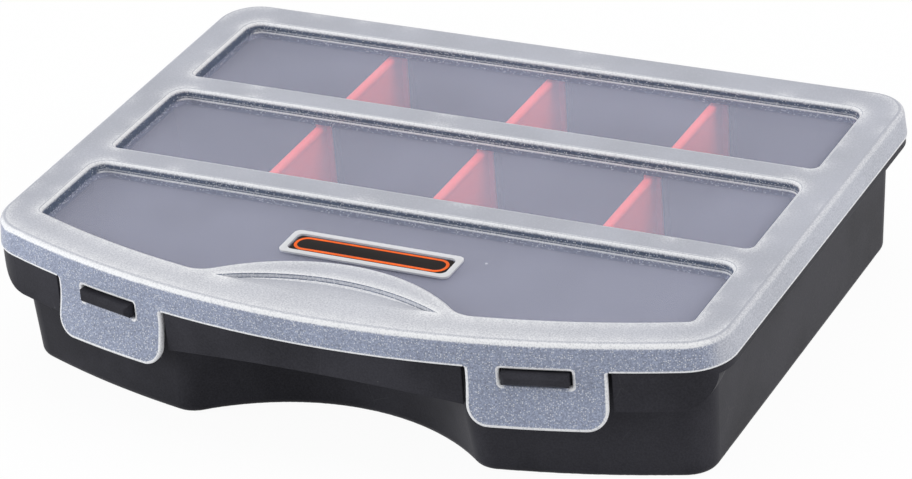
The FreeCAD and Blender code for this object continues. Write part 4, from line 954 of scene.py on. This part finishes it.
class ORGANIZER_OT_lid(bpy.types.Operator):
    """Make the frosted frame of the lid, with painted highlights along its edges and painted shade on its
    recess walls
    """

    bl_idname = "organizer.lid"
    bl_label = "Lid frame"

    def execute(self, context):
        line = sizes().scoop_crease_shade
        top, pane, rim, sink = self.levels()
        cuts = [pane + band[0] for band in RECESS_SHADING_BANDS] + [rim + band[0] for band in RIM_HIGHLIGHT_BANDS]
        cuts += [top - line, top - 2 * line, sink + line, sink + 2 * line]
        mesh, normals = refined_copy("lid_frame", "frosted_lid", LID_STEP, cuts)
        for name, values in self.masks(corner_places(mesh), normals).items():
            paint(mesh, name, "CORNER", values)
        lid = new_piece("frosted_lid", mesh, "frosted_plastic")
        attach(lid, "lid")
        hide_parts("lid_frame")
        return {"FINISHED"}

    def levels(self):
        """Heights of the lid's top, its panes, the foot of its rim and the foot of the scoop's rear wall."""
        top = LID_BOX[1].z
        return top, REAR_PANE[1].z, top - sizes().rim_height, top - sizes().scoop_sink

    def masks(self, places, normals):
        """How much painted side shade, painted recess shade and painted edge highlight each corner of the
        mesh has.
        """
        bow = sizes().bow_radius
        _, pane, rim, _ = self.levels()
        height, slope, forward = places[:, 2], normals[:, 2], -normals[:, 1]
        reach = np.hypot(places[:, 0], places[:, 1] - (LID_BOX[0].y + bow))
        inner = np.abs(places[:, 0]) < REAR_PANE[1].x + RECESS_MARGIN
        inner &= (places[:, 1] < REAR_PANE[1].y + RECESS_MARGIN) & (reach < bow - FRONT_MARGIN)
        upright = 1.0 - smooth_step(np.abs(slope), *WALL_SLOPES)
        wall, outside = upright * inner, upright * ~inner

        # Painted shade and painted highlight lines on the recess walls, by height above the panes:
        # front-facing walls follow the bands, the others are dark low down and pale higher up
        heights, dark, pale = np.array(RECESS_SHADING_BANDS).T
        facing = smooth_step(forward, *FRONT_TURN)
        plain = 1.0 - smooth_step(height - pane, *heights[-2:])
        recess = wall * blended(facing, np.interp(height - pane, heights, dark), plain)
        recess_highlight_lines = np.interp(height - pane, heights, pale)
        wall_highlight = wall * blended(facing, recess_highlight_lines, (1.0 - plain) * WALL_HIGHLIGHT_SHARE)
        # Painted highlight on rounded edges, but not on the recess walls below the top of their painted bands
        edge = smooth_step(slope, *ROUND_BEGINS) * (1.0 - smooth_step(slope, *ROUND_ENDS))
        edge = edge * ~(inner & (height < pane + heights[-1] - LEVEL_TOUCH))

        # Painted highlight bands on the rim and painted side shade, both fullest where the rim faces the
        # front
        level_part = np.maximum(np.hypot(normals[:, 0], normals[:, 1]), TOUCH)
        ahead = smooth_step(forward / level_part, *FRONT_TURN)
        heights, front, flank = np.array(RIM_HIGHLIGHT_BANDS).T
        front, flank = (np.interp(height - rim, heights, values) for values in (front, flank))
        rim_highlight = outside * blended(ahead, front, flank)
        side = outside * blended(ahead, 1.0, FLANK_SIDE_SHADE_SHARE)
        edge = edge * np.where(inner, 1.0, blended(ahead, 1.0, FLANK_EDGE_HIGHLIGHT_SHARE))

        # All painted highlights together: on the top, the rim and the recess walls
        highlight = np.maximum.reduce((self.top_highlight(places, slope), rim_highlight, wall_highlight))
        # The scoop's rear wall: its own painted side shade and highlight, and painted shade at its creases
        scoop, crease = self.scoop_wall(places, normals, reach)
        side = np.where(scoop, SCOOP_SIDE_SHADE_SHARE, side)
        recess = np.maximum(recess, crease * CREASE_SHADE_SHARE)
        edge = np.where(scoop, SCOOP_EDGE_HIGHLIGHT_SHARE, edge) * (1.0 - crease)
        return {"side": side, "recess": recess, "edge": np.maximum(np.where(scoop, 0.0, highlight), edge)}

    def top_highlight(self, places, slope):
        """Painted highlight on the level top, near rounded edges and towards the front."""
        top, pane, _, _ = self.levels()
        height, reach = places[:, 2], sizes().highlight_reach
        rounds = (slope > ROUND_SLOPES[0]) & (slope < ROUND_SLOPES[1]) & (height > pane)
        search = nearest(np.unique(places[rounds], axis=0))
        highlight, known = np.zeros(len(places), np.float32), {}
        for corner in np.flatnonzero((slope > LEVEL) & (height > top - TOP_DEPTH)):
            spot = tuple(places[corner])
            if spot not in known:
                known[spot] = HIGHLIGHT_SHARE * math.exp(-search.find(spot)[2] / reach)
            highlight[corner] = known[spot]
        front = smooth_step(-places[:, 1], *FRONT_FADE) * FRONT_HIGHLIGHT_SHARE
        front *= (slope > NEARLY_LEVEL) & (height > top - FRONT_DEPTH)
        return highlight + (1.0 - highlight) * front

    def scoop_wall(self, places, normals, reach):
        """Which corners are on the thumb scoop's rear wall, and how much painted shade each gets near a
        crease of it.
        """
        line = sizes().scoop_crease_shade
        top, _, _, sink = self.levels()
        height, slope = places[:, 2], normals[:, 2]
        scoop = (np.abs(places[:, 0]) < SCOOP_HALF) & (places[:, 1] < SCOOP_PLACE)
        scoop &= normals[:, 1] < -SCOOP_FACING
        scoop &= (reach < sizes().bow_radius - SCOOP_MARGIN) & (height > sink - SCOOP_OVERLAP)
        scoop &= (slope > SCOOP_SLOPES[0]) & (slope < SCOOP_SLOPES[1])
        step = np.minimum(top - height, np.abs(height - sink))
        return scoop, scoop * (1.0 - smooth_step(step, line, 2 * line))


class ORGANIZER_OT_latch_tabs(bpy.types.Operator):
    """Make the two latch tabs, each in one piece with the rim above it and bending below"""

    bl_idname = "organizer.latch_tabs"
    bl_label = "Latch tabs"

    def execute(self, context):
        size = sizes()
        rim = LID_BOX[1].z - size.rim_height
        foot = rim - size.tab_drop
        half, hold = size.tab_width / 2, size.tab_width / 2 + size.tab_hold
        shoulder, corner = size.tab_shoulder, size.tab_corner
        crown, slot_top = rim + size.tab_crown, rim + size.slot_rise
        slot_foot, slot_half = slot_top - size.slot_height, size.slot_width / 2
        outline = [(-hold, crown), (-hold, rim)]
        outline += arc_points((-half - shoulder, rim - shoulder), shoulder, 90, 0, count=6)
        outline += arc_points((-half + corner, foot + corner), corner, 180, 270, count=14)
        outline += [(-u, v) for u, v in reversed(outline)]
        slot = rounded_rectangle(slot_half, slot_foot, slot_top, size.slot_corner, count=5)
        loops = [divided(outline, TAB_STEP), divided(slot[::-1], TAB_STEP)]
        bow_y = LID_BOX[0].y + size.bow_radius
        bend = rim - size.tab_bend
        full_flare = math.hypot(1.0, FLARE_SHARPNESS) - FLARE_SHARPNESS
        for side in SIDES:
            joint = JOINTS["latch_%s_flex" % side]["pos_m"]
            middle = math.atan2(joint[0], bow_y - joint[1])

            def place(u, v, depth, middle=middle):
                lean = size.rim_lean * max(v - rim, 0.0) / size.rim_height
                down = max(bend - v, 0.0) / (bend - foot)
                flare = (math.hypot(down, FLARE_SHARPNESS) - FLARE_SHARPNESS) / full_flare
                radius = size.bow_radius - lean + size.tab_flare * flare - depth - TAB_BEHIND
                turn = middle + u / size.bow_radius
                return (radius * math.sin(turn), bow_y - radius * math.cos(turn), v)

            name = "latch_tab_" + side
            plate = (size.lid_wall, size.edge_round, place, TAB_STEP)
            mesh, nearness = rounded_plate(name, loops, *plate, line=size.tab_highlight_line)
            x, y, height = read(mesh.vertices, "co", 3).T
            across = np.abs((np.arctan2(x, bow_y - y) - middle) * size.bow_radius)
            held = (height > rim) & (across > half - TAB_HELD) | (height > crown - TAB_HELD)
            over_lug = 1.0 - smooth_step(across, *(slot_half - inside for inside in LUG_FADE))
            over_lug *= np.abs(height - slot_foot) < size.slot_height / 2
            # Painted highlight along the tab's edges and its slot, none where the rim hides the tab, dimmed
            # where the lug sits behind the slot's lower edge
            edge = np.where(held, 0.0, nearness) * (1.0 - LUG_DIM_SHARE * over_lug)
            paint(mesh, "edge", "POINT", edge)
            # The whole tab takes the painted side shade and no painted recess shade
            paint(mesh, "side", "POINT", np.ones(len(edge)))
            paint(mesh, "recess", "POINT", np.zeros(len(edge)))
            tab = new_piece(name, mesh, "frosted_plastic")
            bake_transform(tab)
            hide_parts("latch_" + side)
        return {"FINISHED"}


class ORGANIZER_OT_panes(bpy.types.Operator):
    """Finish the three clear panes"""

    bl_idname = "organizer.panes"
    bl_label = "Panes"

    def execute(self, context):
        for row in (*ROWS, "front"):
            dress("window_" + row, "clear_pane")
        return {"FINISHED"}


class ORGANIZER_OT_dividers(bpy.types.Operator):
    """Make the six coral dividers"""

    bl_idname = "organizer.dividers"
    bl_label = "Dividers"

    def execute(self, context):
        size = sizes()
        for row in ROWS:
            for column in COLUMNS:
                name = "divider_%s_%s" % (row, column)
                low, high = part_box(name)
                lean = size.divider_lean if row == "rear" else 0.0
                values = {
                    "Column": (low.x + high.x) / 2,
                    "Front": low.y,
                    "Rear Low": high.y - lean,
                    "Rear High": high.y,
                    "Bottom": low.z,
                    "Top": high.z,
                    "Thickness": size.divider_thick,
                    "Bead Thickness": size.bead_thick,
                    "Bead Height": size.bead_height,
                    "Strip Width": high.x - low.x,
                    "Strip Thickness": size.strip_thick,
                    "Round": size.divider_round,
                    "Finish": finish("coral_plastic"),
                }
                mesh = grown("coral_" + name, divider_tree(), values)
                if not mesh.polygons:
                    raise RuntimeError("the divider tree made no mesh for " + name)
                mesh.shade_smooth()
                mesh.set_sharp_from_angle(angle=SHARP_EDGE)
                piece = new_piece("coral_" + name, mesh, "coral_plastic")
                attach(piece, name)
                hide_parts(name)
        return {"FINISHED"}


class ORGANIZER_OT_badge(bpy.types.Operator):
    """Make the badge plate, bare within its border line"""

    bl_idname = "organizer.badge"
    bl_label = "Badge"

    def execute(self, context):
        size = sizes()
        low, high = BADGE_BOX
        middle = (low + high) / 2
        half_length, half_width = (high.x - low.x) / 2, (high.y - low.y) / 2
        thickness, rise = high.z - low.z, size.badge_dome

        def place(u, v, depth, lift=0.0):
            swell = max(0.0, 1.0 - (v / half_width) ** 2) * max(0.0, 1.0 - (u / half_length) ** 4)
            top = high.z - rise + rise * swell + lift
            share_down = depth / thickness
            return (middle.x + u, middle.y + v, top * (1 - share_down) + low.z * share_down)

        outline = rounded_rectangle(half_length, -half_width, half_width, size.badge_corner)
        loops = [divided(outline, BADGE_EDGE_STEP)]
        mesh, _ = rounded_plate("badge_plate_domed", loops, thickness, size.badge_round, place, BADGE_STEP)
        plate = new_piece("badge_plate_domed", mesh, "badge_film")
        loops = []
        for inset in (size.line_inset, size.line_inset + size.line_width):
            reach, half = half_length - inset, half_width - inset
            loop = rounded_rectangle(reach, -half, half, half * LINE_END_SHARE, LINE_END_POINTS)
            loops.append(divided(loop, LINE_EDGE_STEP))
        loops[1].reverse()

        def place_line(u, v, depth):
            return place(u, v, depth, size.line_lift)

        line = (size.line_thick, size.line_round, place_line, LINE_STEP)
        mesh, _ = rounded_plate("badge_border", loops, *line, turns=2)
        border = new_piece("badge_border", mesh, "badge_line")
        for piece in (plate, border):
            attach(piece, "lid")
        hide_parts("badge_plate")
        return {"FINISHED"}


class ORGANIZER_OT_stage(bpy.types.Operator):
    """Set the floor, the light and the camera"""

    bl_idname = "organizer.stage"
    bl_label = "Stage"

    def execute(self, context):
        scene = context.scene
        stage = scene.organizer_stage
        scene.view_settings.view_transform = "Standard"
        self.lay_floor()
        self.light_world(scene, stage)
        for name, width, spot, tint in LIGHTS:
            self.hang_light(name + "_light", getattr(stage, name), width, spot, tint)
        self.place_camera(scene, stage)
        return {"FINISHED"}

    def whitened(self, tree, plain, white, part, output_type):
        """Shows a shader as it is, but as white in some part to rays from the camera, a mirror or glass."""
        path = add(tree, "ShaderNodeLightPath").outputs
        mirror = larger(tree, path["Is Camera Ray"], path["Is Glossy Ray"])
        seen = larger(tree, mirror, path["Is Transmission Ray"])
        share_seen = times(tree, seen, part)
        both = add(tree, "ShaderNodeMixShader", {0: share_seen, 1: plain.outputs[0], 2: white.outputs[0]})
        output = next(node for node in tree.nodes if node.type == output_type)
        tree.links.new(both.outputs[0], output.inputs["Surface"])

    def lay_floor(self):
        mesh = bpy.data.meshes.new("floor")
        signs = ((-1, -1), (1, -1), (1, 1), (-1, 1))
        corners = [(x * FLOOR_HALF, y * FLOOR_HALF, FLOOR_LEVEL) for x, y in signs]
        mesh.from_pydata(corners, [], [(0, 1, 2, 3)])
        floor = bpy.data.objects.new("floor", mesh)
        bpy.context.scene.collection.objects.link(floor)
        material, tree, shader, _ = new_material("floor_pale")
        tone = opaque(colours().floor_pale)
        feed(tree, shader, {"Base Color": tone, "Roughness": 0.9, "Specular IOR Level": 0.0})
        white = add(tree, "ShaderNodeEmission", {"Color": WHITE, "Strength": 1.0})
        self.whitened(tree, shader, white, FLOOR_WHITE_SHARE, "OUTPUT_MATERIAL")
        mesh.materials.append(material)
        floor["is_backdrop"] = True

    def light_world(self, scene, stage):
        world = bpy.data.worlds.new("studio")
        world.use_nodes = True
        scene.world = world
        tree = world.node_tree
        soft = tree.nodes["Background"]
        feed(tree, soft, {"Color": SKY_TINT, "Strength": stage.sky})
        white = add(tree, "ShaderNodeBackground", {"Color": WHITE, "Strength": 1.0})
        self.whitened(tree, soft, white, 1.0, "OUTPUT_WORLD")

    def hang_light(self, name, power, width, spot, tint):
        lamp = bpy.data.lights.new(name, "AREA")
        lamp.energy = power
        lamp.shape = "DISK"
        lamp.size = width
        lamp.color = tint
        light = bpy.data.objects.new(name, lamp)
        light.location = spot
        light.rotation_euler = (LIGHT_AIM - Vector(spot)).to_track_quat("-Z", "Y").to_euler()
        light.visible_camera = False
        bpy.context.scene.collection.objects.link(light)

    def place_camera(self, scene, stage):
        turn, rise, roll = stage.azimuth, stage.elevation, stage.roll
        back = Vector((math.sin(turn) * math.cos(rise), -math.cos(turn) * math.cos(rise), math.sin(rise)))
        level = Vector((math.cos(turn), math.sin(turn), 0.0))
        over = back.cross(level)
        right = level * math.cos(roll) + over * math.sin(roll)
        up = over * math.cos(roll) - level * math.sin(roll)
        lens = bpy.data.cameras.new("camera")
        lens.lens = stage.lens
        lens.clip_end = CAMERA_REACH
        camera = bpy.data.objects.new("camera", lens)
        scene.collection.objects.link(camera)
        spot = Vector(stage.aim) + back * stage.distance
        camera.matrix_world = Matrix.Translation(spot) @ Matrix((right, up, back)).transposed().to_4x4()
        scene.camera = camera


OPERATORS = (
    ORGANIZER_OT_tray,
    ORGANIZER_OT_lid,
    ORGANIZER_OT_latch_tabs,
    ORGANIZER_OT_panes,
    ORGANIZER_OT_dividers,
    ORGANIZER_OT_badge,
    ORGANIZER_OT_stage,
)


class ORGANIZER_PT_parts(bpy.types.Panel):
    """Pieces of the organizer and the stage"""

    bl_idname = "ORGANIZER_PT_parts"
    bl_label = "Small parts organizer"
    bl_space_type = "VIEW_3D"
    bl_region_type = "UI"
    bl_category = "Organizer"

    def draw(self, context):
        layout = self.layout
        for operator in OPERATORS:
            layout.operator(operator.bl_idname)
        scene = context.scene
        for group in (scene.organizer_sizes, scene.organizer_colours, scene.organizer_stage):
            box = layout.box()
            for name in group.__annotations__:
                box.prop(group, name)


CLASSES = (OrganizerSizes, OrganizerColours, OrganizerStage, *OPERATORS, ORGANIZER_PT_parts)


def register():
    for item in CLASSES:
        bpy.utils.register_class(item)
    bpy.types.Scene.organizer_sizes = PointerProperty(type=OrganizerSizes)
    bpy.types.Scene.organizer_colours = PointerProperty(type=OrganizerColours)
    bpy.types.Scene.organizer_stage = PointerProperty(type=OrganizerStage)


def unregister():
    del bpy.types.Scene.organizer_stage
    del bpy.types.Scene.organizer_colours
    del bpy.types.Scene.organizer_sizes
    for item in reversed(CLASSES):
        bpy.utils.unregister_class(item)


def main():
    register()
    bpy.ops.organizer.tray()
    bpy.ops.organizer.lid()
    bpy.ops.organizer.latch_tabs()
    bpy.ops.organizer.panes()
    bpy.ops.organizer.dividers()
    bpy.ops.organizer.badge()
    bpy.ops.organizer.stage()
    boxes = {"cad": CAD_BOX, "visual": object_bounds()}
    {name: [list(corner) for corner in box] for name, box in boxes.items()}


if __name__ == "__main__":
    main()
